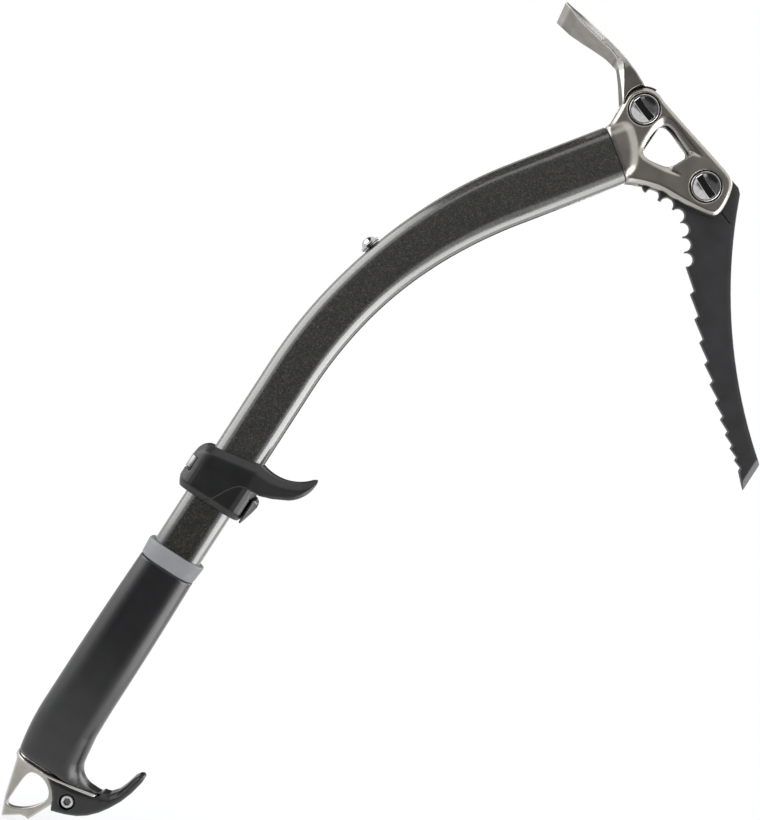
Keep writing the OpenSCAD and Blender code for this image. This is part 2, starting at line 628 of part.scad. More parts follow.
// ADZE
adze_tip_x = -78.6;
adze_tip_z = 2.7;
neck_x = -38;
flare_x = -47;
flare_gain = 4;
flare_width = adze_neck_width + flare_gain;
seat_gap = 0.2;
seat_r = pick_rear_r + seat_gap;
adze_under = [[-62, 10.9], [-51, 18], [-48, 18.9], [-43.7, 18.9], [-33.4, 16.6], [-23, 13], [-18, 20]];
adze_top = [[-22, 27.6], [-27.7, 27.3], [-32.5, 26.8], [-37.6, 25.7], [-44.4, 23.4], [-50, 20.9], [-63.4, 13.2]];
adze_back = 0.6;
adze_height = 70;
lug_end = [-31, 21.5, 4];
module adze_profile() difference() {
    polygon(concat([[adze_tip_x, adze_tip_z], [adze_tip_x + adze_back, adze_tip_z - adze_edge]],
        adze_under, adze_top));
    translate([upper_x, upper_z] + rear_shift) circle(seat_r);
}
module adze_plan() polygon([[adze_tip_x - air, -adze_width / 2], [flare_x, -flare_width / 2],
    [neck_x, -adze_neck_width / 2], [upper_x, -adze_neck_width / 2], [upper_x, adze_neck_width / 2],
    [neck_x, adze_neck_width / 2], [flare_x, flare_width / 2], [adze_tip_x - air, adze_width / 2]]);
module adze() color(steel) head_frame() difference() {
    union() {
        intersection() {
            plate(adze_width) adze_profile();
            translate([0, 0, -adze_height / 2]) linear_extrude(2 * adze_height) adze_plan();
        }
        for (side = [-1, 1]) translate([0, side * (slot_y + lug_thickness / 2), 0]) plate(lug_thickness)
            belt([[upper_x, upper_z, lug_round], lug_end]);
    }
    across(upper_x, upper_z, sleeve_d + 2 * fit_gap, -20, 20);
}

// PICK BOLTS AND SLEEVE NUTS
disc_h = counterbore_depth - 0.2;
module slotted_disc(slot_turn) difference() {
    cylinder(d = bolt_head_d, h = disc_h);
    rotate(slot_turn) translate([-bolt_head_d * 0.4, -slot_width / 2, disc_h * 0.4])
        cube([bolt_head_d * 0.8, slot_width, disc_h]);
}
module bolt_place(x, z, side) head_frame() translate([x, side * (head_thickness / 2 - counterbore_depth), z])
    rotate([side < 0 ? 90 : -90, 0, 0]) translate([0, 0, fit_gap]) children();
shank = head_thickness - 2 * counterbore_depth;
module pick_bolt(x, z, slot_turn) color(bright_steel) bolt_place(x, z, -1) {
    slotted_disc(slot_turn);
    translate([0, 0, -shank + 1]) cylinder(d = bolt_d, h = shank);
}
module sleeve_nut(x, z, slot_turn) color(bright_steel) bolt_place(x, z, 1) difference() {
    union() {
        slotted_disc(slot_turn);
        translate([0, 0, -shank + 0.5]) cylinder(d = sleeve_d, h = shank);
    }
    translate([0, 0, -shank]) cylinder(d = bolt_d + 2 * fit_gap, h = shank + fit_gap);
}
module upper_bolt() pick_bolt(upper_x, upper_z, 60);
module lower_bolt() pick_bolt(lower_x, lower_z, 70);
module upper_nut() sleeve_nut(upper_x, upper_z, 30);
module lower_nut() sleeve_nut(lower_x, lower_z, 110);

// LEASH SCREW, in a frame that stands on the shaft's back with z pointing out
leash_s = bend_height + bend_radius * leash_angle * PI / 180;
module leash_frame() translate([line_x(leash_s), 0, line_z(leash_s)]) rotate([0, leash_angle - 90, 0])
    translate([0, 0, depth_at(leash_s) / 2]) children();
flange_t = 0.8;
insert_length = 9;
module leash_insert() color(bright_steel) leash_frame() difference() {
    union() {
        translate([0, 0, 0.15]) cylinder(d = insert_d + 2, h = flange_t);
        translate([0, 0, -insert_length]) cylinder(d = insert_d, h = insert_length + 0.5);
    }
    translate([0, 0, -insert_length + 2]) cylinder(d = leash_thread_d, h = insert_length + 5);
}
washer_z = 0.15 + flange_t + fit_gap;
module leash_washer() color(bright_steel) leash_frame() translate([0, 0, washer_z]) difference() {
    cylinder(d = leash_washer_d, h = leash_washer_t);
    translate([0, 0, -air]) cylinder(d = leash_thread_d + 2 * fit_gap, h = leash_washer_t + 2 * air);
}
module leash_screw() color(bright_steel) leash_frame() translate([0, 0, washer_z + leash_washer_t + fit_gap])
    difference() {
        union() {
            dome_r = (leash_head_d * leash_head_d / 4 + leash_head_h * leash_head_h) / 2 / leash_head_h;
            intersection() {
                translate([0, 0, leash_head_h - dome_r]) sphere(dome_r);
                cylinder(d = leash_head_d + 2, h = leash_head_h + air);
            }
            translate([0, 0, -8]) cylinder(d = leash_thread_d - 2 * fit_gap, h = 8.4);
        }
        translate([0, 0, leash_head_h - 1.8]) cylinder(d = leash_thread_d * 0.6, h = 5, $fn = 6);
    }

shaft();
grip();
grip_collar();
spike();
spike_pin();
pinky_hook();
hook_bolt();
hook_nut();
trigger_body();
lever_pin();
lock_lever();
hinge_plate();
tension_screw();
head();
pick();
adze();
upper_bolt();
lower_bolt();
upper_nut();
lower_nut();
leash_insert();
leash_washer();
leash_screw();
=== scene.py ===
# %% [markdown]
# # Dressing an ice climbing tool
# The tool has a curved aluminium shaft, a rubber grip, a steel head with a toothed pick and an adze, a
# spike with a plastic hook under the hand, and a trigger that slides on the shaft and is held by a small
# lever. The CAD model fixes every place and size. This lesson keeps that frame and builds the surfaces that
# the eye sees: cast steel with ground edges, sparkling paint, moulded plastic and rubber.

# %% The frame
import math
import bpy
import numpy as np
from mathutils import Matrix, Vector


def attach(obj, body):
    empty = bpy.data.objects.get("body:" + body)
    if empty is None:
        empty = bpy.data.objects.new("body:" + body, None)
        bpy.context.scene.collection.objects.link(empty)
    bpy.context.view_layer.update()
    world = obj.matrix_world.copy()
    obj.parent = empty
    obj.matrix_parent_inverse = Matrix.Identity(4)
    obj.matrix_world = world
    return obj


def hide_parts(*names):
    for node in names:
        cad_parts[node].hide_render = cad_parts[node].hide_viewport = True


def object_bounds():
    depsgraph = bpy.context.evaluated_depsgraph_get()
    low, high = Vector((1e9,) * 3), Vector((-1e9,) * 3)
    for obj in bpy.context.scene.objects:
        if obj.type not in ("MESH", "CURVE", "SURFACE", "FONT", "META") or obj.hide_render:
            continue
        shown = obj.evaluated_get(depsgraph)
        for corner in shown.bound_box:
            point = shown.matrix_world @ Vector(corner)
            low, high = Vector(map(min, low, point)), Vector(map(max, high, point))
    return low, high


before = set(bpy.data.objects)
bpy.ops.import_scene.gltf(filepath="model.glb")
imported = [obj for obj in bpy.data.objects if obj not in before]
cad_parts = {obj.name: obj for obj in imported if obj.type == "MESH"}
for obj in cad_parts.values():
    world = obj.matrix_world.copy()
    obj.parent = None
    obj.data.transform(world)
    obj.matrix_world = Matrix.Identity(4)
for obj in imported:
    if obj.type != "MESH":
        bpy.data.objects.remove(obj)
cad_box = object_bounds()
scene = bpy.context.scene
scene.view_settings.view_transform = "Standard"
print("CAD box in mm:", [[round(1000 * c, 1) for c in corner] for corner in cad_box])

# %% [markdown]
# ## The tool's centre line
# The shaft runs straight up from the grip, bends over an arc and ends in a short straight run at the head.
# The head, the pick and the adze are easier to think about in the frame of that last run, so a helper
# carries points from there to the tool's own frame. All sizes in this file are in millimetres until a mesh
# is made.

# %% Centre line
MM = 0.001
BEND_HEIGHT = 183.0
BEND_RADIUS = 240.0
BEND_ANGLE = math.radians(36.0)
TOP_RUN = 54.4
BEND_LENGTH = BEND_RADIUS * BEND_ANGLE
SHAFT_END = BEND_HEIGHT + BEND_LENGTH + TOP_RUN


def line_turn(s):
    """How far the centre line has turned at distance s from the grip's middle."""
    return max(0.0, min(BEND_ANGLE, (s - BEND_HEIGHT) / BEND_RADIUS))


def line_point(s):
    """The centre line's point (x, z) at distance s."""
    turn = line_turn(s)
    past = max(0.0, s - BEND_HEIGHT - BEND_LENGTH)
    x = BEND_RADIUS * (1 - math.cos(turn)) + past * math.sin(BEND_ANGLE)
    z = min(s, BEND_HEIGHT) + BEND_RADIUS * math.sin(turn) + past * math.cos(BEND_ANGLE)
    return x, z


HEAD_X, HEAD_Z = line_point(SHAFT_END)


def place_head(points):
    """Points of the head's own frame, carried to the tool's frame."""
    c, s = math.cos(BEND_ANGLE), math.sin(BEND_ANGLE)
    x, y, z = points.T
    return np.stack([HEAD_X + c * x + s * z, y, HEAD_Z - s * x + c * z], axis=1)


def place_tool(points):
    """Points that are already in the tool's frame."""
    return points


print("head seam at x, z:", round(HEAD_X, 1), round(HEAD_Z, 1))

# %% [markdown]
# ## Distance fields
# Cast and moulded parts have no sharp edges: their walls run into each other over small radii. A distance
# field describes such a shape well. It gives, for any point, how far the point is outside the surface, and
# two shapes join or cut with a soft minimum or maximum that leaves a fillet. Boolean cuts and Bevel
# modifiers could do the same, but they break easily where fillets meet.

# %% Field helpers
def soft_max(a, b, r):
    """Both shapes at once, with the edge between them rounded over r."""
    h = np.maximum(r - np.abs(a - b), 0.0) / r
    return np.maximum(a, b) + h * h * r / 4


def soft_min(a, b, r):
    """Either shape, with a fillet of about r where they meet."""
    return -soft_max(-a, -b, r)


def bevel_plane(a, b, along, down):
    """A flat bevel between two faces: along from their edge on b's face, down from it on a's wall."""
    return (a * down + b * along + along * down) / np.hypot(along, down)


def bevel_max(a, b, along, down, r):
    """Both shapes at once, with a flat bevel between them and its edges rounded over r."""
    return soft_max(soft_max(a, b, r), bevel_plane(a, b, along, down), r)


def outline_field(points, x, z):
    """Distance to a closed outline, negative inside."""
    best = np.full(np.broadcast(x, z).shape, 1e9)
    sign = np.ones_like(best)
    for (ax, az), (bx, bz) in zip(points, points[1:] + points[:1]):
        ex, ez = bx - ax, bz - az
        wx, wz = x - ax, z - az
        t = np.clip((wx * ex + wz * ez) / (ex * ex + ez * ez), 0, 1)
        best = np.minimum(best, (wx - ex * t) ** 2 + (wz - ez * t) ** 2)
        up, down, left = z >= az, z < bz, ex * wz > ez * wx
        sign = np.where((up & down & left) | (~up & ~down & ~left), -sign, sign)
    return sign * np.sqrt(best)


def box_field(x, y, half_x, half_y, r):
    """Distance to a rounded rectangle round the origin."""
    qx, qy = np.abs(x) - half_x + r, np.abs(y) - half_y + r
    return np.hypot(np.maximum(qx, 0), np.maximum(qy, 0)) + np.minimum(np.maximum(qx, qy), 0) - r


gap = float(box_field(6.0, 0.0, 5.0, 3.0, 1.0))
print("a point beside a block of 10 by 6 mm is", gap, "mm away from it")

# %% [markdown]
# ## Outlines
# Most parts of the tool are easiest to draw from the side, as on a workshop drawing: a few corners, arcs,
# or a belt that runs round circles. A drawn loop becomes smooth when its corners are cut again and again. A
# curve object could be used as well, but a plain list of points goes straight into a field.

# %% Outlines
def arc_points(x, z, r, start, stop, steps=12):
    """Points on an arc, angles in degrees."""
    turns = [math.radians(start + (stop - start) * i / steps) for i in range(steps + 1)]
    return [(x + r * math.cos(t), z + r * math.sin(t)) for t in turns]


def round_loop(points, rounds=2):
    """A closed outline with its corners cut again and again, until it is smooth."""
    for _ in range(rounds):
        pairs = list(zip(points, points[1:] + points[:1]))
        points = [(a[0] * s + b[0] * (1 - s), a[1] * s + b[1] * (1 - s))
                  for a, b in pairs for s in (0.75, 0.25)]
    return points


def raised(height, points):
    """Points (x, z) whose z is counted from a height."""
    return [(x, height + z) for x, z in points]


def mirrored(points):
    """An outline (x, y) from its half on one side of y = 0."""
    return [(x, -y) for x, y in points] + points[::-1]


def belt_points(circles, steps=8):
    """Outline round circles (x, z, r), listed anticlockwise, joined by their outer tangents."""
    def leave(a, b):
        return math.atan2(b[1] - a[1], b[0] - a[0]) - math.acos((a[2] - b[2]) / math.dist(a[:2], b[:2]))
    points = []
    for i, c in enumerate(circles):
        start = leave(circles[i - 1], c)
        sweep = (leave(c, circles[(i + 1) % len(circles)]) - start) % (2 * math.pi)
        turns = [start + sweep * k / steps for k in range(steps + 1)]
        points += [(c[0] + c[2] * math.cos(t), c[1] + c[2] * math.sin(t)) for t in turns]
    return points


disc_area = math.pi * 5.0 ** 2
spots = np.stack(np.meshgrid(np.arange(-6, 6, 0.1), np.arange(-6, 6, 0.1))) + 0.05
in_disc = outline_field(arc_points(0.0, 0.0, 5.0, 0, 350, 35), *spots) < 0
print("a drawn disc covers", round(in_disc.sum() * 0.01, 1), "of", round(disc_area, 1), "square mm")

# %% [markdown]
# ## From field to mesh
# A surface net turns a field into quads: the field is sampled on a grid, every grid cell that the surface
# crosses gets one point, and neighbouring points are joined. The points are then pulled onto the true
# surface along the field's slope and evened out, so the result is smooth at a modest size.

# %% Surface net
PROBE = 0.2
LONGEST_STEP = 0.6


def field_slope(field, p, h):
    """The field's slope at points, from samples at a distance h."""
    steps = np.eye(3) * h
    return np.stack([(field(*(p + e).T) - field(*(p - e).T)) / (2 * h) for e in steps], axis=1)


def settle(field, p, cell, rounds):
    """Pulls points onto the field's surface."""
    for _ in range(rounds):
        slope = field_slope(field, p, PROBE * cell)
        size = np.maximum((slope ** 2).sum(1), 0.05)
        step = np.clip(field(*p.T) / size, -LONGEST_STEP * cell, LONGEST_STEP * cell)
        p = p - slope * step[:, None]
    return p


def surface_net(field, low, high, cell):
    """Points and quads of the surface of a field, between two corners."""
    axes = [np.arange(a - 2 * cell, b + 3 * cell, cell) for a, b in zip(low, high)]
    value = field(axes[0][:, None, None], axes[1][None, :, None], axes[2][None, None, :])
    inside = np.broadcast_to(value, [len(a) for a in axes]) < 0
    corners = sum(inside[i:i - 1 or None, j:j - 1 or None, k:k - 1 or None].astype(np.int8)
                  for i in (0, 1) for j in (0, 1) for k in (0, 1))
    mixed = (corners > 0) & (corners < 8)
    number = np.full(mixed.shape, -1)
    number[mixed] = np.arange(mixed.sum())
    origin = np.array([a[0] for a in axes])
    points = origin + (np.argwhere(mixed) + 0.5) * cell
    quads = []
    for axis in range(3):
        a, b = [t for t in range(3) if t != axis]
        first, second = np.delete(np.arange(inside.shape[axis]), -1), np.arange(1, inside.shape[axis])
        before, after = inside.take(first, axis), inside.take(second, axis)
        at = np.argwhere(before != after)
        at = at[(at[:, a] > 0) & (at[:, b] > 0)]
        step_a, step_b = np.eye(3, dtype=int)[a], np.eye(3, dtype=int)[b]
        ring = [number[tuple((at - d).T)] for d in (step_a + step_b, step_b, 0 * step_a, step_a)]
        ring = np.stack(ring, axis=1)
        turn = before[tuple(at.T)] == (axis == 1)
        ring[turn] = ring[turn][:, ::-1]
        quads.append(ring)
    quads = np.concatenate(quads)
    points = settle(field, points, cell, 2)
    edges = np.concatenate([quads[:, [0, 1]], quads[:, [1, 2]], quads[:, [2, 3]], quads[:, [3, 0]]])
    count = np.maximum(np.bincount(edges.ravel(), minlength=len(points)), 1)
    for _ in range(3):
        total = np.zeros_like(points)
        np.add.at(total, edges[:, 0], points[edges[:, 1]])
        np.add.at(total, edges[:, 1], points[edges[:, 0]])
        points = points + 0.5 * (total / count[:, None] - points)
        points = settle(field, points, cell, 1)
    return points, quads


def ball(x, y, z):
    return np.sqrt(x * x + y * y + z * z) - 5.0


ball_points, ball_quads = surface_net(ball, (-5, -5, -5), (5, 5, 5), 1.0)
reach = np.linalg.norm(ball_points, axis=1)
print("a ball of 5 mm gets", len(ball_quads), "quads, at", reach.min().round(3), "to", reach.max().round(3))

# %% [markdown]
# ## Making a piece
# A finished piece is a plain mesh whose object stays at the origin. It rides on a CAD body, stands for one
# or more CAD nodes, and carries its finish. A sculpted piece also keeps two numbers on each point: where
# its steel was ground bright, as edges are, and how much painted shade darkens it, as on the floor of a
# slot, where shade falls.

# %% Piece helpers
def add_piece(name, mesh, material, body, nodes):
    """Puts a finished mesh into the scene and ties it to the frame."""
    piece = bpy.data.objects.new(name, mesh)
    scene.collection.objects.link(piece)
    mesh.materials.clear()
    mesh.materials.append(material)
    mesh.shade_smooth()
    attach(piece, body)
    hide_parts(*nodes)
    corners = np.array([v.co for v in mesh.vertices]) / MM
    low, high = corners.min(0).round(1), corners.max(0).round(1)
    print(name, "has", len(mesh.polygons), "faces, from", low, "to", high)


def smooth_step(value, low, high):
    """0 below low, 1 above high, and a smooth rise between them."""
    t = np.clip((value - low) / (high - low), 0, 1)
    return t * t * (3 - 2 * t)


def edges_ground(points, facing):
    """Bright where the surface leans away from the flat sides."""
    return smooth_step(1 - np.abs(facing[:, 1]), 0.03, 0.2)


def keep_values(mesh, key, values):
    """Keeps a number or a vector at each point of a mesh, under a name."""
    values = np.asarray(values, dtype=np.float32)
    kind, item = ("FLOAT", "value") if values.ndim == 1 else ("FLOAT_VECTOR", "vector")
    mesh.attributes.new(key, kind, "POINT").data.foreach_set(item, values.ravel())


def sculpt(name, field, low, high, cell, material, body, node, ground=edges_ground, shade=None,
           place=place_tool):
    """A piece from a distance field; each point keeps how brightly it is ground and how much shade is painted
    on it.
    """
    points, quads = surface_net(field, low, high, cell)
    slope = field_slope(field, points, PROBE * cell)
    facing = slope / np.maximum(np.linalg.norm(slope, axis=1), 1e-6)[:, None]
    mesh = bpy.data.meshes.new(name)
    mesh.from_pydata((place(points) * MM).tolist(), [], quads.tolist())
    # The second number is painted shade: it darkens points where shade falls, in slots, gaps and creases.
    for key, rule in (("ground", ground), ("shade", shade)):
        if rule:
            keep_values(mesh, key, rule(points, facing))
    add_piece(name, mesh, material, body, [node])


print("CAD nodes to dress:", len(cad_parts))

# %% [markdown]
# ## Finishes
# Every finish is a node tree that reads Object coordinates, which are metres here, so a texture scale of
# 1000 makes grains of a millimetre. Pictures could be wrapped round the pieces instead, but a rule stays
# sharp at any distance and needs no unwrapping. Values that are the same all over sit on the shader's own
# sockets.

# %% Finish helpers
def maker(tree, prefix):
    """A function that adds nodes to a tree."""
    def node(kind, settings=None, **sockets):
        """A node with its settings; sockets, by name or as i and a number, are linked or set."""
        made = tree.nodes.new(prefix + kind)
        for key, value in (settings or {}).items():
            setattr(made, key, value)
        for key, value in sockets.items():
            socket = made.inputs[int(key[1:])] if key[0] == "i" and key[1:].isdigit() else made.inputs[key]
            if isinstance(value, bpy.types.NodeSocket):
                tree.links.new(value, socket)
            else:
                socket.default_value = value
        return made
    return node


def new_finish(name, metallic, roughness, specular=0.5):
    """A material with a Principled shader, its Object coordinates and a function that adds nodes to it."""
    material = bpy.data.materials.new(name)
    material.use_nodes = True
    tree = material.node_tree
    shader = tree.nodes["Principled BSDF"]
    shader.inputs["Metallic"].default_value = metallic
    shader.inputs["Roughness"].default_value = roughness
    shader.inputs["Specular IOR Level"].default_value = specular
    node = maker(tree, "ShaderNode")
    return material, tree, shader, node("TexCoord").outputs["Object"], node


def ramp(node, value, stops):
    """A colour ramp: stops are (place, grey or colour)."""
    made = node("ValToRGB", None, Fac=value)
    elements = made.color_ramp.elements
    while len(elements) < len(stops):
        elements.new(0.5)
    for element, (place, tone) in zip(elements, stops):
        element.position = place
        element.color = (tone, tone, tone, 1) if isinstance(tone, float) else (*tone, 1)
    return made.outputs["Color"]


def blend(node, share, first, second):
    """A mix of two colours."""
    return node("Mix", {"data_type": "RGBA"}, i0=share, i6=first, i7=second).outputs[2]


def add_bump(tree, shader, node, height, strength, distance):
    """Small relief, from a texture's height."""
    bump = node("Bump", None, Height=height, Strength=strength, Distance=distance)
    tree.links.new(bump.outputs["Normal"], shader.inputs["Normal"])

# %% [markdown]
# ### Sparkling paint
# The shaft's grey paint holds metal flakes under a clear coat. Each cell of a Voronoi texture is one flake
# with its own tone and lean, and a cloud of noise keeps the flakes from looking even. Plain noise alone
# could give a speckle, but it has no cells, so it looks like dirt and not like flakes.

# %% Sparkling paint of the shaft
paint, tree, shader, coords, node = new_finish("sparkle_paint", 0.0, 0.4, 0.5)
flakes = node("TexVoronoi", None, Vector=coords, Scale=2100.0)
flake_tone = node("SeparateColor", None, Color=flakes.outputs["Color"]).outputs["Red"]
cloud = node("TexNoise", None, Vector=coords, Scale=500.0, Detail=3.0)
depth = node("Mix", {"data_type": "FLOAT"}, i0=0.35, i2=flake_tone, i3=cloud.outputs["Fac"]).outputs[0]
flake_tones = [(0.12, (0.004, 0.004, 0.003)), (0.5, (0.018, 0.0172, 0.012)), (0.75, (0.036, 0.034, 0.025)),
               (0.92, (0.10, 0.095, 0.075))]
tree.links.new(ramp(node, depth, flake_tones), shader.inputs["Base Color"])
shader.inputs["Coat Weight"].default_value = 1.0
shader.inputs["Coat Roughness"].default_value = 0.15
shader.inputs["Coat IOR"].default_value = 1.9
add_bump(tree, shader, node, flake_tone, 0.3, 0.00006)
print(paint.name, "has", len(tree.nodes), "nodes")

# %% [markdown]
# ### Satin and dark steel
# Blasted steel is a little cloudy, and its fine grain breaks up the shine. Two numbers that the mesh keeps
# at each point tell where an edge was ground brighter and how much painted shade darkens the steel. One
# function makes all five steels, because they differ only in tone, shine and grain.

# %% Satin and dark steel
def steel_finish(name, flat, edge, roughness, metallic, grain):
    """Bead-blasted flats, and edges that were ground brighter."""
    material, tree, shader, coords, node = new_finish(name, metallic, roughness)
    ground = node("Attribute", {"attribute_name": "ground"}).outputs["Fac"]
    shade = node("Attribute", {"attribute_name": "shade"}).outputs["Fac"]
    cloud = node("TexNoise", None, Vector=coords, Scale=90.0, Detail=4.0)
    fine = node("TexNoise", None, Vector=coords, Scale=2600.0, Detail=2.0)
    low = tuple(0.82 * c for c in flat)
    high = tuple(1.16 * c for c in flat)
    patches = ramp(node, cloud.outputs["Fac"], [(0.3, low), (0.7, high)])
    mix = blend(node, ground, patches, (*edge, 1))
    # Painted shade: where the mesh asks for it, the colour is pulled towards near black.
    tree.links.new(blend(node, shade, mix, (0.02, 0.02, 0.02, 1)), shader.inputs["Base Color"])
    shine = node("MapRange", None, Value=fine.outputs["Fac"])
    spread = 0.01 + 0.25 * grain
    shine.inputs["To Min"].default_value = roughness - spread
    shine.inputs["To Max"].default_value = roughness + spread
    tree.links.new(shine.outputs["Result"], shader.inputs["Roughness"])
    add_bump(tree, shader, node, fine.outputs["Fac"], grain, 0.00006)
    return material


SATIN = (0.42, 0.395, 0.355)
satin_steel = steel_finish("satin_steel", SATIN, (0.40, 0.385, 0.355), 0.34, 1.0, 0.25)
strap_steel = steel_finish("brushed_strap", (0.30, 0.30, 0.295), (0.36, 0.36, 0.355), 0.38, 1.0, 0.2)
# The adze's edge tone is brighter than ground steel: part of it is a painted highlight on the blade's sides.
adze_steel = steel_finish("ground_adze", SATIN, (0.86, 0.84, 0.80), 0.34, 1.0, 0.015)
spike_steel = steel_finish("ground_spike", (0.41, 0.395, 0.36), (0.54, 0.525, 0.49), 0.34, 1.0, 0.2)
pick_steel = steel_finish("dark_pick_steel", (0.038, 0.037, 0.039), (0.075, 0.075, 0.078), 0.46, 0.4, 0.3)
print("steels:", satin_steel.name, strap_steel.name, adze_steel.name, spike_steel.name, pick_steel.name)

# %% [markdown]
# ### Polished fasteners
# Bolts, pins and screws are plated and smooth. Only a faint noise moves their tone, and the floors of their
# slots are darkened with painted shade. A plain shader would do, but large flats would then look like
# mirrors.

# %% Polished fasteners
bright_steel, tree, shader, coords, node = new_finish("polished_steel", 1.0, 0.16)
turned = node("TexNoise", None, Vector=coords, Scale=700.0, Detail=3.0)
polish = ramp(node, turned.outputs["Fac"], [(0.35, 0.46), (0.65, 0.58)])
slots = node("Attribute", {"attribute_name": "shade"}).outputs["Fac"]
# Painted shade: the slot floors are pulled to a dark grey.
tree.links.new(blend(node, slots, polish, (0.09, 0.09, 0.092, 1)), shader.inputs["Base Color"])
add_bump(tree, shader, node, turned.outputs["Fac"], 0.06, 0.00004)
print(bright_steel.name, "has", len(tree.nodes), "nodes")

# %% [markdown]
# ### Moulded plastic and rubber
# Mould steel leaves a fine grain on plastic and rubber. One rule makes all three, with another tone, shine
# and grain.

# %% Moulded plastic and rubber
def moulded_finish(name, dark, light, roughness, specular, grain_scale, grain):
    """A fine moulded grain over a colour that varies a little."""
    material, tree, shader, coords, node = new_finish(name, 0.0, roughness, specular)
    cloud = node("TexNoise", None, Vector=coords, Scale=120.0, Detail=5.0)
    fine = node("TexNoise", None, Vector=coords, Scale=grain_scale, Detail=2.0)
    tree.links.new(ramp(node, cloud.outputs["Fac"], [(0.3, dark), (0.7, light)]), shader.inputs["Base Color"])
    add_bump(tree, shader, node, fine.outputs["Fac"], grain, 0.00008)
    return material


black_plastic = moulded_finish("black_plastic", (0.010, 0.010, 0.0105), (0.015, 0.015, 0.0155), 0.34, 0.5,
                               2200.0, 0.2)
grip_rubber = moulded_finish("grip_rubber", (0.008, 0.008, 0.009), (0.013, 0.013, 0.014), 0.31, 0.68,
                             1800.0, 0.3)
collar_rubber = moulded_finish("collar_rubber", (0.235, 0.242, 0.246), (0.265, 0.272, 0.276), 0.5, 0.4,
                               1500.0, 0.2)
print("moulded:", black_plastic.name, grip_rubber.name, collar_rubber.name)

# %% [markdown]
# ## Trees of Geometry Nodes
# What follows a path or repeats is left to Geometry Nodes, which keep the rule in a tree instead of a loop
# over points. Both trees of this tool take a shape and a finish as named inputs, end in real geometry with
# its finish set, and are then turned into plain meshes, because the export drops instances and modifiers.

# %% Tree helpers
def plain_mesh(host):
    """The evaluated mesh of an object, as data of its own; the object is then removed."""
    graph = bpy.context.evaluated_depsgraph_get()
    mesh = bpy.data.meshes.new_from_object(host.evaluated_get(graph))
    bpy.data.objects.remove(host)
    return mesh


def new_tree(name, shape_title):
    """A Geometry Nodes tree with a shape and a finish as inputs, and what is needed to fill and to use it."""
    group = bpy.data.node_groups.new(name, "GeometryNodeTree")
    add_socket = group.interface.new_socket
    add_socket("Geometry", in_out="INPUT", socket_type="NodeSocketGeometry")
    shape = add_socket(shape_title, in_out="INPUT", socket_type="NodeSocketObject")
    finish = add_socket("Finish", in_out="INPUT", socket_type="NodeSocketMaterial")
    add_socket("Geometry", in_out="OUTPUT", socket_type="NodeSocketGeometry")
    node = maker(group, "")
    start = node("NodeGroupInput")
    info = node("GeometryNodeObjectInfo", None, Object=start.outputs[shape_title])
    return group, node, start, info.outputs["Geometry"], (shape.identifier, finish.identifier)


def named(node, key, kind):
    """What the host mesh keeps at its points under a name."""
    return node("GeometryNodeInputNamedAttribute", {"data_type": kind}, Name=key).outputs["Attribute"]


def close_tree(group, node, start, geometry):
    """Makes the geometry real, gives it its finish and leads it out."""
    solid = node("GeometryNodeRealizeInstances", None, Geometry=geometry)
    coat = node("GeometryNodeSetMaterial", None, Geometry=solid.outputs["Geometry"],
                Material=start.outputs["Finish"])
    node("NodeGroupOutput", None, Geometry=coat.outputs["Geometry"])
    print("the tree", group.name, "has", len(group.nodes), "nodes")


def grown_mesh(host_mesh, group, inputs, shape, finish):
    """The plain mesh that a tree makes from a host mesh, a shape and a finish."""
    host = bpy.data.objects.new(host_mesh.name, host_mesh)
    scene.collection.objects.link(host)
    modifier = host.modifiers.new("grow", "NODES")
    modifier.node_group = group
    for identifier, value in zip(inputs, (shape, finish)):
        modifier[identifier] = value
    return plain_mesh(host)

# %% [markdown]
# ## The shaft
# The shaft is a hydroformed tube: one rounded section that follows the bent centre line and deepens a
# little towards the head. A rule like that suits Geometry Nodes. The host mesh is the centre line as a
# chain of edges, each point keeping its own centre, the direction in which the section deepens and by how
# much. The tree turns the chain into a curve, sweeps the section along it, deepens it and gives it its
# paint.

# %% Shaft by Geometry Nodes
SHAFT_DEPTH, SHAFT_TOP_DEPTH, SHAFT_WIDTH, SHAFT_CORNER = 26.4, 30.6, 19.6, 7.5
SHAFT_BOTTOM = -52.3
BEND_STEPS, TOP_STEPS = 48, 6
TAPER_START, TAPER_END = BEND_HEIGHT + 46.0, BEND_HEIGHT + BEND_LENGTH + TOP_RUN / 4


def closed_line(name, points):
    """A closed curve through points (x, y)."""
    curve = bpy.data.curves.new(name, "CURVE")
    curve.dimensions = "3D"
    spline = curve.splines.new("POLY")
    spline.points.add(len(points) - 1)
    for target, (x, y) in zip(spline.points, points):
        target.co = (x * MM, y * MM, 0, 1)
    spline.use_cyclic_u = True
    made = bpy.data.objects.new(name, curve)
    scene.collection.objects.link(made)
    return made


def shaft_tree():
    """Sweeps a section along a chain of edges that keeps its own centre, side and deepening."""
    group, node, start, section, inputs = new_tree("swept_shaft", "Section")
    curve = node("GeometryNodeMeshToCurve", None, i0=start.outputs["Geometry"])
    line = node("GeometryNodeSetCurveNormal", {"mode": "Z_UP"}, Curve=curve.outputs[0])
    sweep = node("GeometryNodeCurveToMesh", None, Curve=line.outputs["Curve"],
                 **{"Profile Curve": section, "Fill Caps": True})
    centre, side = [named(node, key, "FLOAT_VECTOR") for key in ("centre", "side")]
    place = node("GeometryNodeInputPosition").outputs[0]
    away = node("ShaderNodeVectorMath", {"operation": "SUBTRACT"}, i0=place, i1=centre)
    reach = node("ShaderNodeVectorMath", {"operation": "DOT_PRODUCT"}, i0=away.outputs["Vector"], i1=side)
    amount = node("ShaderNodeMath", {"operation": "MULTIPLY"}, i0=reach.outputs["Value"],
                  i1=named(node, "deepen", "FLOAT"))
    push = node("ShaderNodeVectorMath", {"operation": "SCALE"}, i0=side, Scale=amount.outputs[0])
    move = node("GeometryNodeSetPosition", None, Geometry=sweep.outputs["Mesh"],
                Offset=push.outputs["Vector"])
    close_tree(group, node, start, move.outputs["Geometry"])
    return group, inputs


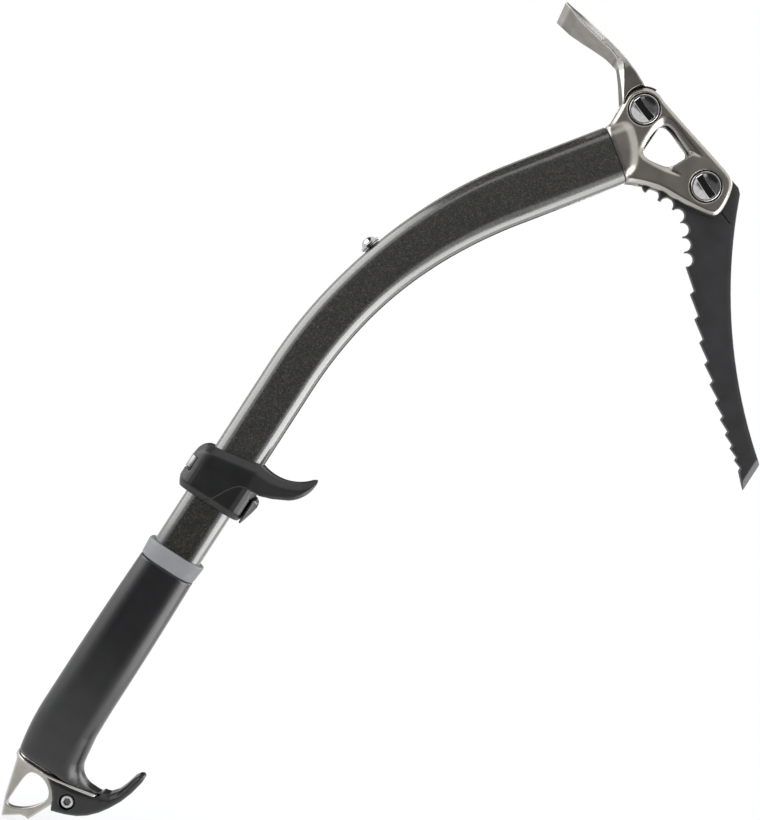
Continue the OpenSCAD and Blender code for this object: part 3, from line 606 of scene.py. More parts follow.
stations = [SHAFT_BOTTOM, 0.0, 90.0]
stations += [BEND_HEIGHT + BEND_LENGTH * i / BEND_STEPS for i in range(BEND_STEPS + 1)]
stations += [BEND_HEIGHT + BEND_LENGTH + TOP_RUN * (i + 1) / TOP_STEPS for i in range(TOP_STEPS)]
centres = [(x * MM, z * MM, 0) for x, z in map(line_point, stations)]
sides = [(math.cos(line_turn(s)), -math.sin(line_turn(s)), 0) for s in stations]
tapered = np.clip((np.array(stations) - TAPER_START) / (TAPER_END - TAPER_START), 0, 1)
chain = bpy.data.meshes.new("shaft_chain")
chain.from_pydata(centres, [(i, i + 1) for i in range(len(stations) - 1)], [])
keep_values(chain, "centre", centres)
keep_values(chain, "side", sides)
keep_values(chain, "deepen", (1 - np.cos(np.pi * tapered)) / 2 * (SHAFT_TOP_DEPTH / SHAFT_DEPTH - 1))
corner_x, corner_y = SHAFT_DEPTH / 2 - SHAFT_CORNER, SHAFT_WIDTH / 2 - SHAFT_CORNER
section_points = []
for quarter, (sx, sy) in enumerate([(1, 1), (-1, 1), (-1, -1), (1, -1)]):
    begin = 90 * quarter
    section_points += arc_points(sx * corner_x, sy * corner_y, SHAFT_CORNER, begin, begin + 90, 10)
section_line = closed_line("shaft_section", section_points)
shaft_mesh = grown_mesh(chain, *shaft_tree(), section_line, paint)
bpy.data.objects.remove(section_line)
shaft_mesh.transform(Matrix.Rotation(math.radians(90), 4, "X"))
add_piece("painted_shaft", shaft_mesh, paint, "tool", ["shaft"])
shaft_mesh.set_sharp_from_angle(angle=math.radians(50))

# %% [markdown]
# ## The head
# The head is one steel casting. A rounded socket sits on the shaft and runs out into two flat cheeks, which
# hold the pick between them. The socket is a tongue with a soft arched end, so a fillet and not a line lies
# between it and the cheeks. The clip hole has a wide ground bevel that runs out into a point at two of its
# corners.

# %% Head
UPPER = (-16.0, 22.0)
BOLT_TILT = math.radians(17.5)
BOLT_SPACING = 50.4
LOWER = (UPPER[0] + BOLT_SPACING * math.cos(BOLT_TILT), UPPER[1] + BOLT_SPACING * math.sin(BOLT_TILT))
HEAD_HALF = 7.4
SLOT_HALF = 2.1
POCKET_HALF, POCKET_R = 4.2, 9.7
BORE_R, BORE_FLOOR = 8.4, 5.4
RIM_SLOPE = 0.62
boss = arc_points(*UPPER, 11.5, 108, 208, 8)
head_outline = round_loop([(-14.7, 0.0), (14.9, 0.0), (15.6, 1.6), (17.4, 5.0), (20.9, 10.2), (25.4, 15.8),
                           (32.7, 21.3), (40.9, 28.3), (47.2, 34.6), (48.0, 37.4), (46.4, 41.4), (41.6, 47.0),
                           (36.6, 50.8), (32.3, 51.6), (25.1, 49.3), (4.3, 41.3), (-16.0, 33.6)] + boss + [
                          (-22.6, 12.4), (-18.6, 7.8), (-15.6, 3.6)])
socket_outline = round_loop([(-14.7, -2.0), (14.7, -2.0), (14.4, 2.0), (12.4, 5.2), (9.0, 7.8), (4.2, 10.2),
                             (-3.0, 12.4), (-10.9, 12.8), (-17.6, 10.2), (-15.6, 3.6)])
clip_outline = round_loop([(3.6, 13.6), (-1.2, 18.9), (-4.2, 24.1), (-5.6, 29.8), (-2.2, 32.6), (5.6, 34.4),
                           (14.2, 36.8), (15.4, 30.4), (16.6, 23.6), (12.1, 18.2), (7.4, 13.8)])
clip_rim = round_loop([(2.4, 11.9), (-1.4, 15.4), (-5.6, 21.0), (-8.8, 25.9), (-9.2, 30.8), (-5.4, 34.1),
                       (1.7, 36.3), (9.8, 38.6), (16.9, 40.9), (17.2, 40.3), (14.2, 36.4), (15.8, 29.6),
                       (17.0, 23.8), (21.6, 27.2), (22.4, 26.8), (17.0, 20.2), (11.7, 15.4), (6.4, 11.5)], 1)


def head_field(x, y, z):
    side = np.abs(y)
    cheek = bevel_max(outline_field(head_outline, x, z), side - HEAD_HALF, 1.8, 2.4, 0.6)
    tongue = soft_max(outline_field(socket_outline, x, z), box_field(x, y, 14.9, 9.8 - 0.05 * z, 6.8), 4.5)
    body = soft_min(cheek, tongue, 1.6)
    body = bevel_max(-z + 0.05, body, 0.5, 0.5, 0.25)
    rim = outline_field(clip_rim, x, z)
    body = soft_max(body, side - HEAD_HALF - RIM_SLOPE * np.clip(rim, -6.0, 8.0), 0.5)
    body = soft_max(body, -outline_field(clip_outline, x, z), 0.5)
    for bx, bz in (UPPER, LOWER):
        bore = np.maximum(np.hypot(x - bx, z - bz) - BORE_R, BORE_FLOOR - side)
        body = soft_max(body, -bore, 0.5)
    floor = 9.4 - 0.09 * (x - UPPER[0])
    body = soft_max(body, -np.maximum(side - SLOT_HALF, floor - z), 0.3)
    out_x, out_z = x - UPPER[0], z - UPPER[1]
    pocket = np.minimum(np.hypot(out_x, out_z) - POCKET_R, np.maximum(out_x, np.abs(out_z) - POCKET_R))
    return soft_max(body, -np.maximum(side - POCKET_HALF, pocket), 0.3)


sculpt("steel_head", head_field, (-28, -10, 0), (49, 10, 53), 0.5, satin_steel, "tool", "head",
       place=place_head)

# %% [markdown]
# ## The adze
# The adze is forged: lugs between the cheeks, a web that hugs the head's round end and a blade that fans
# out and thins towards its edge. Its side outline and its plan are each drawn once, and the field keeps
# what lies in both. A facet takes the lower corner off the web, and the sides of the blade are ground and
# lightened further with a painted highlight.

# %% Adze
EYE_R = 11.5
LUG_HALF = 4.05
FACET_ALONG, FACET_DOWN = 2.6, 3.4
adze_under = [(-78.4, 1.4), (-69.3, 4.8), (-62.0, 8.8), (-54.4, 13.4), (-49.4, 16.2), (-45.5, 17.7),
              (-41.0, 18.0), (-33.4, 16.2), (-23.0, 13.0)]
adze_over = [(-18.0, 20.0), (-22.0, 27.4), (-27.8, 26.9), (-35.5, 25.5), (-43.1, 23.3), (-48.9, 20.7),
             (-55.3, 17.3), (-62.0, 13.3), (-69.9, 8.6), (-76.4, 3.9), (-79.2, 2.3)]
adze_side = adze_under + adze_over
adze_plan = mirrored([(-79.6, 19.5), (-78.4, 20.7), (-76.0, 20.2), (-56.0, 12.3), (-39.0, 7.0), (-16.0, 7.0)])
lug_outline = belt_points([(*UPPER, 9.3), (-31.0, 21.5, 4.0)])


def from_eye(x, z):
    """Distance from the middle of the round end that the adze hugs."""
    return np.hypot(x - UPPER[0] + 0.9, z - UPPER[1] - 1.5)


def adze_field(x, y, z):
    plan = outline_field(adze_plan, x, y)
    blade = bevel_max(outline_field(adze_side, x, z), plan, 0.6, 0.6, 0.35)
    facet = bevel_plane(np.interp(x, *np.array(adze_under).T) - z, plan, FACET_ALONG, FACET_DOWN)
    blade = soft_max(blade, facet - 0.6 * np.clip(-42.0 - x, 0, 40.0) - 0.1 * np.clip(x + 42.0, 0, 40.0), 0.3)
    web = soft_max(blade, EYE_R - from_eye(x, z), 0.3)
    lugs = np.maximum(np.abs(y) - LUG_HALF, SLOT_HALF + 0.05 - np.abs(y))
    return np.minimum(web, np.maximum(outline_field(lug_outline, x, z), lugs))


def blade_sides(x, y):
    """1 on the sides of the adze's blade and 0 on its faces."""
    return smooth_step(outline_field(adze_plan, x, y), -0.75, -0.4)


def adze_ground_and_highlight(points, facing):
    """The blade's sides, the web's facet and the cutting edge are ground and lightened further as a painted
    highlight, and the faces are left satin.
    """
    x, y, _ = points.T
    sides = blade_sides(x, y) * smooth_step(-x, 36.0, 46.0)
    facet = 0.7 * smooth_step(-facing[:, 2], 0.2, 0.5) * smooth_step(x, -46.0, -42.0)
    return np.maximum(np.maximum(sides, facet), 0.3 * smooth_step(-x, 74.0, 75.0))


def adze_painted_shade(points, facing):
    """Painted shade: dark on the lugs between the cheeks, along a line in the middle of the blade's sides,
    and a little on the web's sides and the underside.
    """
    x, y, z = points.T
    # The lugs between the cheeks are darkened as painted shade.
    lugs = smooth_step(-from_eye(x, z), -11.45, -11.3)
    under = np.interp(x, *np.array(adze_under).T)
    over = np.interp(x, *np.array(adze_over[::-1]).T)
    share = (z - under) / np.maximum(over - under, 0.5)
    # Painted shade of a crease along the middle of the blade's sides; the blade has no such groove.
    hollow = smooth_step(share, 0.3, 0.45) * smooth_step(-share, -0.8, -0.65) * smooth_step(-x, 62.0, 72.0)
    hollow = hollow * blade_sides(x, y)
    web = 0.25 * smooth_step(np.abs(facing[:, 1]), 0.6, 0.9) * smooth_step(x, -46.0, -38.0)
    below = 0.3 * smooth_step(-facing[:, 2], 0.2, 0.6)
    below = below * smooth_step(x, -75.6, -75.0) * smooth_step(-x, 42.0, 46.0)
    return np.maximum(np.maximum(lugs, 0.75 * hollow), np.maximum(web, below))


sculpt("steel_adze", adze_field, (-79, -21, 0), (-6, 21, 33), 0.3, adze_steel, "tool", "adze",
       adze_ground_and_highlight, adze_painted_shade, place_head)

# %% [markdown]
# ## The pick
# The pick is laser-cut plate with ground edges. Its outline follows rules: a spine on one arc, a toothed
# edge on another, with teeth that grow shorter towards the tip, and a row of round scallops under the head.
# The plate thins along its spine and at its tip, and a short groove is pressed into its face next to the
# head.

# %% Pick
TIP = (184.9, 0.0)
TOOTH_COUNT = 11
TOOTH_HEIGHT, TOOTH_BACK = 2.4, 1.4
SCALLOP_R = 3.5
PICK_HALF = 2.0


def bow(a, b, r, share):
    """A point at a share of the arc of radius r from a to b."""
    a, b = np.array(a), np.array(b)
    span = np.linalg.norm(b - a)
    along = (b - a) / span
    middle = (a + b) / 2 + np.array([-along[1], along[0]]) * math.sqrt(r * r - span * span / 4)
    turn = math.atan2(a[1] - middle[1], a[0] - middle[0]) + 2 * math.asin(span / 2 / r) * share
    return middle + r * np.array([math.cos(turn), math.sin(turn)])


scallop_corners = [np.array(p) for p in ((22.9, 8.3), (37.0, 18.9), (44.2, 20.0), (67.0, 14.3))]
scallop_counts = (2, 1, 3)
shares = [i / TOOTH_COUNT for i in range(TOOTH_COUNT + 1)]
teeth = [bow(scallop_corners[3], (TIP[0] - 10.3, 1.6), 460.0, s * (1 + 0.45 * (1 - s))) for s in shares]
pick_edge = []
for i in range(1, TOOTH_COUNT + 1):
    along = (teeth[i] - teeth[i - 1]) / np.linalg.norm(teeth[i] - teeth[i - 1])
    height = TOOTH_HEIGHT * (1 - 0.4 * i / TOOTH_COUNT)
    pick_edge += [teeth[i] - TOOTH_BACK * along + np.array([-along[1], along[0]]) * height, teeth[i]]
spine_ends = (LOWER[0] + 12.1, LOWER[1] + 15.1), (TIP[0] - 9.3, 12.9)
spine = [bow(*spine_ends, 270.0, i / 20) for i in range(20, -1, -1)]
shoulder = [(LOWER[0] + x, LOWER[1] + z) for x, z in ((9.6, 16.5), (6.2, 16.9), (-3.0, 13.4))]
pick_outline = [(UPPER[0], UPPER[1] - 9), (21.4, 7.9), *scallop_corners, *pick_edge, TIP, *spine, *shoulder,
                (UPPER[0], UPPER[1] + 9)]
pick_outline = [tuple(p) for p in pick_outline]
scallops = []
for k, count in enumerate(scallop_counts):
    run = (scallop_corners[k + 1] - scallop_corners[k]) / count
    aside = np.array([-run[1], run[0]]) / np.linalg.norm(run)
    scallops += [scallop_corners[k] + run * (i + 0.5) + aside * 0.4 for i in range(count)]
spine_back = [(20.0, -40.0), (240.0, -40.0)] + [tuple(p) for p in spine] + [(20.0, 60.0)]
top_edge = (np.array([30.3, 47.0]) - np.array(UPPER)) / math.dist((30.3, 47.0), UPPER)
clip_gap = belt_points([(-4.2, 28.6, 1.6), (5.4, 14.8, 1.6), (17.4, 26.0, 1.6), (14.2, 35.8, 1.6)])


def pick_groove(x, z):
    """A short tapering groove in the face, beside the head's lower corner."""
    along = np.clip(((x - 46.0) * 8.6 + (z - 40.6) * 2.6) / 80.7, 0, 1)
    return np.hypot(x - 46.0 - 8.6 * along, z - 40.6 - 2.6 * along) - 0.75 + 0.45 * along


def pick_field(x, y, z):
    out_x, out_z = x - UPPER[0], z - UPPER[1]
    above = out_z * top_edge[0] - out_x * top_edge[1] - 10.0
    rear = np.minimum(above, out_x * top_edge[0] + out_z * top_edge[1] + 1.5)
    rear = np.maximum(from_eye(x, z) - EYE_R - 0.2, rear)
    shape = np.minimum(outline_field(pick_outline, x, z), rear)
    for cx, cz in scallops:
        shape = np.maximum(shape, SCALLOP_R - np.hypot(x - cx, z - cz))
    shape = np.maximum(shape, -outline_field(clip_gap, x, z))
    side = np.abs(y) - PICK_HALF
    plate = bevel_max(shape, side, 0.55, 0.8, 0.25)
    tip = (x - TIP[0]) * 0.81 + (z - TIP[1]) * 0.59
    plate = soft_max(plate, side + 0.55 * np.maximum(tip + 3.4, 0), 0.25)
    back = outline_field(spine_back, x, z)
    plate = soft_max(plate, side + 0.16 * np.clip(back + 2.6, 0, 3.0), 0.15)
    return soft_max(plate, -np.maximum(pick_groove(x, z), 1.3 - np.abs(y)), 0.2)


def pick_painted_shade(points, facing):
    """Painted shade: the rear between the cheeks and the groove are made black."""
    rear = smooth_step(-points[:, 0], 0.0, 3.0)
    return np.maximum(rear, smooth_step(-pick_groove(points[:, 0], points[:, 2]), -0.1, 0.15))


sculpt("toothed_pick", pick_field, (-29, -2.2, -1), (185.5, 2.2, 54), 0.42, pick_steel, "tool", "pick",
       shade=pick_painted_shade, place=place_head)

# %% [markdown]
# ## Pick bolts
# Two bolts with slotted heads clamp the pick, and two sleeve nuts with the same heads sit on the far side.
# One head is shaped once as a field. Geometry Nodes then put a copy on each of four points, turned to its
# own slot angle and facing outwards, and make the copies real.

# %% Bolts by Geometry Nodes
BOLT_R = 7.75
BOLT_SEAT = 5.45
BOLT_SHANK_R = 3.0
SLOT_LONG, SLOT_WIDE = 6.2, 1.75


def bolt_head_field(x, y, z):
    disc = soft_max(np.hypot(x, y) - BOLT_R, np.abs(z - 1.2) - 1.2, 0.8)
    dish = np.hypot(np.hypot(x, y), z - 19.85) - 18.75
    slot = np.maximum(np.maximum(np.abs(x) - SLOT_LONG, np.abs(y) - SLOT_WIDE), 0.35 - z)
    body = soft_max(disc, -slot, 0.3)
    shank = soft_max(np.hypot(x, y) - BOLT_SHANK_R, np.abs(z + 4.4) - 4.6, 0.3)
    return np.minimum(soft_max(body, -dish, 0.3), shank)


def bolt_tree():
    """Copies a shape onto points, turned as each point's own turn says."""
    group, node, start, bolt, inputs = new_tree("slotted_bolts", "Bolt")
    spin = node("FunctionNodeEulerToRotation", None, i0=named(node, "turn", "FLOAT_VECTOR"))
    copies = node("GeometryNodeInstanceOnPoints", None, Points=start.outputs["Geometry"], Instance=bolt,
                  Rotation=spin.outputs[0])
    close_tree(group, node, start, copies.outputs["Instances"])
    return group, inputs


bolt_points, bolt_quads = surface_net(bolt_head_field, (-8, -8, -9.2), (8, 8, 2.6), 0.24)
bolt_mesh = bpy.data.meshes.new("bolt_shape")
bolt_mesh.from_pydata((bolt_points * MM).tolist(), [], bolt_quads.tolist())
# Points on the slot floor get painted shade.
in_slot = (np.abs(bolt_points[:, 0]) < SLOT_LONG + 0.15) & (np.abs(bolt_points[:, 1]) < SLOT_WIDE + 0.2)
keep_values(bolt_mesh, "shade", in_slot & (bolt_points[:, 2] < 0.75))
bolt_shape = bpy.data.objects.new("bolt_shape", bolt_mesh)
scene.collection.objects.link(bolt_shape)
bolt_group, bolt_inputs = bolt_tree()


def bolt_copies(name, places, nodes):
    """A piece of two bolts: places are (head frame x, z, side, slot angle)."""
    spots = bpy.data.meshes.new(name + "_spots")
    at = place_head(np.array([(x, side * BOLT_SEAT, z) for x, z, side, _ in places]))
    spots.from_pydata((at * MM).tolist(), [], [])
    turns = []
    for _, _, side, slot in places:
        face = Matrix.Rotation(math.radians(-90 * side), 3, "X") @ Matrix.Rotation(math.radians(slot), 3, "Z")
        turns.append(tuple(face.to_euler()))
    keep_values(spots, "turn", turns)
    mesh = grown_mesh(spots, bolt_group, bolt_inputs, bolt_shape, bright_steel)
    add_piece(name, mesh, bright_steel, "tool", nodes)


bolt_copies("slotted_bolts", [(*UPPER, -1, -20.0), (*LOWER, -1, -24.0)], ["upper_bolt", "lower_bolt"])
bolt_copies("slotted_sleeve_nuts", [(*UPPER, 1, 66.0), (*LOWER, 1, 146.0)], ["upper_nut", "lower_nut"])
bpy.data.objects.remove(bolt_shape)

# %% [markdown]
# ## The grip
# The grip is moulded rubber. Its section is the shaft's, thickened, and it swells in the palm. At the
# bottom it runs out forwards into a nose that lies on the steel flange, so the little finger meets one
# smooth hollow. Low down its shape is a side outline with rounded edges, and higher up a rounded section
# takes over little by little.

# %% Grip
BUTT = -54.3
GRIP_LENGTH = 120.0


def grip_walls(z):
    """Rubber over the front and the back of the shaft: it swells in the palm and runs out at the heel."""
    t = np.clip((z - BUTT) / GRIP_LENGTH, 0, 1)
    wall = 2.0 + np.sin(np.pi / 2 * np.minimum(1, (1 - t) / 0.55))
    low = np.maximum(0, 1 - t / 0.42) ** 2
    heel = np.maximum(0, 1 - t / 0.25) ** 2
    return wall, wall + 2.2 * low, wall - 3.6 * heel


front_heights = np.linspace(BUTT + 26.0, BUTT + GRIP_LENGTH + 10.0, 12)
front_outline = raised(BUTT, [(-60.0, -8), (33.9, -8), (33.9, 3.55), (35.0, 4.8), (32.0, 4.2)])
front_outline += arc_points(28.8, BUTT + 14.6, 10.4, -90, -175, 10)
front_outline += [(SHAFT_DEPTH / 2 + grip_walls(height)[1], height) for height in front_heights]
front_outline += [(-60.0, front_heights[-1])]


def nose_half(x):
    """Half the grip's width low down: it narrows from the palm to the tip of the nose."""
    return SHAFT_WIDTH / 2 + 3.4 - 0.22 * np.clip(x - 10.0, 0, 40.0)


def grip_field(x, y, z):
    wall, front, back = grip_walls(z)
    depth, shift = (SHAFT_DEPTH + front + back) / 2, (front - back) / 2
    palm = box_field(x - shift, y, depth, SHAFT_WIDTH / 2 + wall + 0.6, SHAFT_CORNER + wall)
    along = np.clip((x - 18.0) / 12.0, 0, 1)
    side = np.maximum(outline_field(front_outline, x, z), -x - SHAFT_DEPTH / 2 - back)
    nose = soft_max(side, np.abs(y) - nose_half(x), 10.5 - 5.0 * along)
    share = np.clip((z - BUTT - 25.0) / 25.0, 0, 1)
    body = nose * (1 - share) + palm * share
    under = np.where(x < 6.0, BUTT - z, (BUTT - z) + (x - 6.0) * 3.5 / 27.5)
    under = under + 2.4 * (y / 13.0) ** 2 * np.clip((20.0 - x) / 14.0, 0, 1)
    body = soft_max(body, under, 3.0 - 2.4 * np.clip((x - 10.0) / 8.0, 0, 1))
    return soft_max(body, z - BUTT - GRIP_LENGTH, 0.8)


sculpt("rubber_grip", grip_field, (-17, -14, BUTT - 1), (36, 14, BUTT + 121), 0.75, grip_rubber, "tool",
       "grip")

# %% [markdown]
# ## The grip's collar
# A grey rubber ring closes the top of the grip. It is a short sleeve that widens a little upwards.

# %% Grip collar
COLLAR_LENGTH = 9.6


def collar_field(x, y, z):
    t = np.clip((z - BUTT - GRIP_LENGTH) / COLLAR_LENGTH, 0, 1)
    wall = 2.0 + 0.8 * t
    body = box_field(x, y, SHAFT_DEPTH / 2 + wall, SHAFT_WIDTH / 2 + wall + 0.6, SHAFT_CORNER + wall)
    body = soft_max(body, np.abs(z - BUTT - GRIP_LENGTH - COLLAR_LENGTH / 2 - 0.05) - COLLAR_LENGTH / 2, 1.2)
    return soft_max(body, -box_field(x, y, SHAFT_DEPTH / 2 - 0.3, SHAFT_WIDTH / 2 - 0.3, SHAFT_CORNER), 0.6)


sculpt("grip_band", collar_field, (-17, -14, 64), (17, 14, 78), 0.5, collar_rubber, "tool", "grip_collar")

# %% [markdown]
# ## The spike
# The spike is a steel blade under a bent flange that closes the rubber off. The blade has a clip hole and
# ends in a small chisel point. Blade and flange could be two meshes with a Boolean union, but a soft
# minimum also gives the fillet between them.

# %% Spike
BLADE_HALF = 2.2
FLANGE_HALF = 10.8
spike_outline = raised(BUTT, [(-12.8, -0.7), (-6.3, -24.1), (-2.4, -33.5), (5.6, -28.0), (7.8, -27.5),
                              (10.2, -27.8), (17.4, -12.4), (22.4, -12.4), (27.4, -7.4), (27.4, 2.0),
                              (6.0, -0.7)])
spike_hole = round_loop(raised(BUTT, [(-2.2, -6.4), (-3.5, -11.0), (-3.7, -17.0), (-3.9, -23.4),
                                      (-3.6, -26.6), (-0.8, -26.8), (1.8, -25.8), (4.8, -24.2),
                                      (9.0, -20.6), (12.4, -15.8), (13.0, -12.2), (10.6, -8.4),
                                      (6.0, -5.8), (1.2, -5.2)]))
flange_outline = raised(BUTT, [(-12.8, -0.05), (-12.8, -1.4), (6.0, -1.4), (33.5, 2.1), (33.5, 3.45),
                               (6.0, -0.05)])


def spike_field(x, y, z):
    side = np.abs(y)
    blade = bevel_max(outline_field(spike_outline, x, z), side - BLADE_HALF, 1.0, 1.2, 0.4)
    nose = soft_max(np.maximum(side - np.minimum(nose_half(x), FLANGE_HALF) + 0.3, 5.0 - x), x - 33.6, 2.5)
    section = soft_min(box_field(x - 2.9, y, 15.4, FLANGE_HALF, 8.4), nose, 3.0)
    flange = soft_max(outline_field(flange_outline, x, z), section, 0.5)
    tang = soft_max(box_field(x, y, 11.3, 7.9, 5.6), np.abs(z - BUTT - 10.0) - 10.5, 0.5)
    plate = soft_max(soft_min(blade, flange, 4.0), -outline_field(spike_hole, x, z), 0.5)
    return np.minimum(plate, tang)


def spike_ground(points, facing):
    """The edges and the flange are ground bright."""
    rim = smooth_step(np.abs(points[:, 1]), 3.0, 6.0)
    return np.maximum(edges_ground(points, facing), rim)


sculpt("steel_spike", spike_field, (-14, -13.5, BUTT - 34), (34, 13.5, BUTT + 21), 0.5, spike_steel, "tool",
       "spike", spike_ground)

# %% [markdown]
# ## The pinky hook
# The hook is moulded plastic, bolted to the spike's lug. Its outline is drawn from the side, its plan
# narrows towards the tip, and a bevel runs round it that grows finer where the grip's nose lies on the
# hook.

# %% Pinky hook
HOOK_BOLT = (22.4, BUTT - 7.4)
SADDLE = 2.6
HEAD_SEAT_R, NUT_SEAT_R = 4.2, 4.05
LUG_R, LUG_SLOT_HALF = 5.4, 2.3
hook_inner = raised(BUTT, [(33.5, 2.05), (35.3, 5.5), (38.5, 6.8), (41.3, 10.2), (43.2, 15.0),
                           (44.2, 19.0), (44.9, 21.2)])
hook_outer = raised(BUTT, [(46.2, 23.3), (48.0, 24.2), (49.2, 23.4), (49.3, 20.7), (47.7, 13.1),
                           (45.4, 6.6), (42.3, 0.8), (38.9, -4.1), (34.9, -8.2),
                           (30.3, -11.4), (25.1, -13.8), (21.0, -15.2), (17.6, -16.2)])
hook_back = raised(BUTT, [(15.1, -10.7), (12.4, -7.2), (8.8, -4.2), (4.8, -1.8)])
hook_seat = raised(BUTT, [(4.8, -1.45), (6.0, -1.45)])
hook_outline = hook_seat + hook_inner + hook_outer + hook_back
hook_top = raised(BUTT, [(-20.0, -60), (80.0, -60), (80.0, 26.0), (47.0, 26.0)]) + hook_inner[::-1]
hook_top += raised(BUTT, [(6.0, -1.45), (-20.0, -1.45)])
hook_plan = mirrored([(0.0, 8.0), (33.5, 8.0), (52.0, 5.5)])


def hook_field(x, y, z):
    shape = outline_field(hook_outline, x, z)
    wide = outline_field(hook_plan, x, y)
    fine = 1 - 0.85 * np.clip((38.0 - x) / 2.0, 0, 1) * np.clip((z - BUTT + 1.0) / 3.0, 0, 1)
    body = bevel_max(shape, wide, 1.7 * fine, 1.9 * fine, 0.7 * fine)
    top = outline_field(hook_top, x, z)
    saddle = bevel_plane(top, wide, SADDLE, SADDLE)
    body = soft_max(body, saddle - 0.8 * np.clip(36.5 - x, 0, 20.0) - 0.25 * np.clip(x - 42.0, 0, 9.0), 0.6)
    seat = np.hypot(x - HOOK_BOLT[0], z - HOOK_BOLT[1])
    body = soft_max(body, -np.maximum(seat - HEAD_SEAT_R, y + 4.6), 0.3)
    body = soft_max(body, -np.maximum(seat - NUT_SEAT_R, 4.8 - y), 0.3)
    behind = np.minimum(seat - LUG_R, x - HOOK_BOLT[0])
    slot = np.maximum(np.abs(y) - LUG_SLOT_HALF, np.minimum(behind, np.maximum(x - 27.8, HOOK_BOLT[1] - z)))
    return soft_max(body, -slot, 0.3)


sculpt("pinky_rest", hook_field, (3, -8.5, BUTT - 19), (51, 8.5, BUTT + 26), 0.5, black_plastic, "tool",
       "pinky_hook")

# %% [markdown]
# ## The hook's bolt
# A small socket-head bolt holds the hook. Three pairs of flats make the hexagon in its head.

# %% Hook bolt
HEXAGON = 1.7
HOOK_HEAD_R, HOOK_SHANK_R = 3.4, 1.95


def hook_bolt_field(x, y, z):
    dx, dz = x - HOOK_BOLT[0], z - HOOK_BOLT[1]
    r = np.hypot(dx, dz)
    disc = soft_max(r - HOOK_HEAD_R, np.abs(y + 5.8) - 1.15, 0.7)
    flats = [np.abs(dx), np.abs(0.5 * dx + 0.866 * dz), np.abs(0.5 * dx - 0.866 * dz)]
    six = np.maximum(np.maximum(flats[0], flats[1]), flats[2]) - HEXAGON
    disc = soft_max(disc, -np.maximum(six, y + 5.4), 0.25)
    return np.minimum(disc, soft_max(r - HOOK_SHANK_R, np.abs(y - 0.4) - 6.0, 0.3))


def hook_socket_painted_shade(points, facing):
    """Painted shade darkens the inside of the socket."""
    r = np.hypot(points[:, 0] - HOOK_BOLT[0], points[:, 2] - HOOK_BOLT[1])
    return ((r < 2.05) & (points[:, 1] > -6.5)).astype(float)


sculpt("hook_bolt_head", hook_bolt_field, (18.5, -7.2, HOOK_BOLT[1] - 4), (26.5, 6.6, HOOK_BOLT[1] + 4), 0.2,
       bright_steel, "tool", "hook_bolt", None, hook_socket_painted_shade)

# %% [markdown]
# ## The trigger
# The trigger is a plastic collar that slides on the shaft, with a finger rest in front and a split hinge
# block behind. A raised band runs round its upper half and ends in an arch over the front column. Plans
# from above and outlines from the side are combined, so one field holds the collar, the rest and the band.

# %% Trigger
LIP = 105.2
BACK_X, FRONT_X, SIDE_Y = -21.1, 17.8, 13.4
PIN = (-17.4, 3.0)
PIN_BORE_R = 1.5
NOTCH_MIDDLE, NOTCH_HALF = LIP + 13.3, 3.8
RUNNING_GAP = 0.3
rest_top = arc_points(20.1, LIP + 54.8, 24.4, -106, -40, 14)
rest_under = arc_points(24.3, LIP + 37.8, 17.2, 10, -57, 14)
back_edge = [(BACK_X + 4.5, 25.9), (0.0, 29.0)]
trigger_outline = raised(LIP, [(BACK_X + 3.7, 0.2), (BACK_X, 4.8), (BACK_X, 17.0), (BACK_X + 1.1, 23.7)])
trigger_outline += raised(LIP, back_edge)
trigger_outline += rest_top + raised(LIP, [(41.0, 40.6)]) + rest_under
trigger_outline += raised(LIP, [(FRONT_X + 1.6, 16.2), (FRONT_X, 15.8), (FRONT_X, 0.0)])
trigger_outline.reverse()
top_outline = raised(LIP, [(-60.0, -60), (-60.0, 21.0), (BACK_X, 23.7)] + back_edge) + rest_top
top_outline += raised(LIP, [(60.0, 60), (60.0, -60)])
top_outline.reverse()
back_rounds = [(BACK_X + 7, SIDE_Y - 7, 7), (BACK_X + 11, -SIDE_Y + 11, 11)]
far_round = (FRONT_X - 8, SIDE_Y - 8, 8)
collar_plan = belt_points([*back_rounds, (FRONT_X - 8, -SIDE_Y + 8, 8), far_round])
column_plan = belt_points([*back_rounds, (8.3, -SIDE_Y + 11.7, 11.7), far_round])
rest_plan = belt_points([*back_rounds, (9.8, -SIDE_Y + 12, 12), (41.0, -2.8, 2.2), (41.0, 2.8, 2.2),
                         (9.8, SIDE_Y - 12, 12)], 12)
arch_outline = round_loop(raised(LIP, [(-4.0, -10), (30.0, -10), (30.0, 17.9), (16.6, 18.0), (12.6, 17.9),
                                       (9.0, 16.8), (6.4, 14.2), (4.2, 10.6), (1.6, 5.6), (-2.0, -1.0)]))


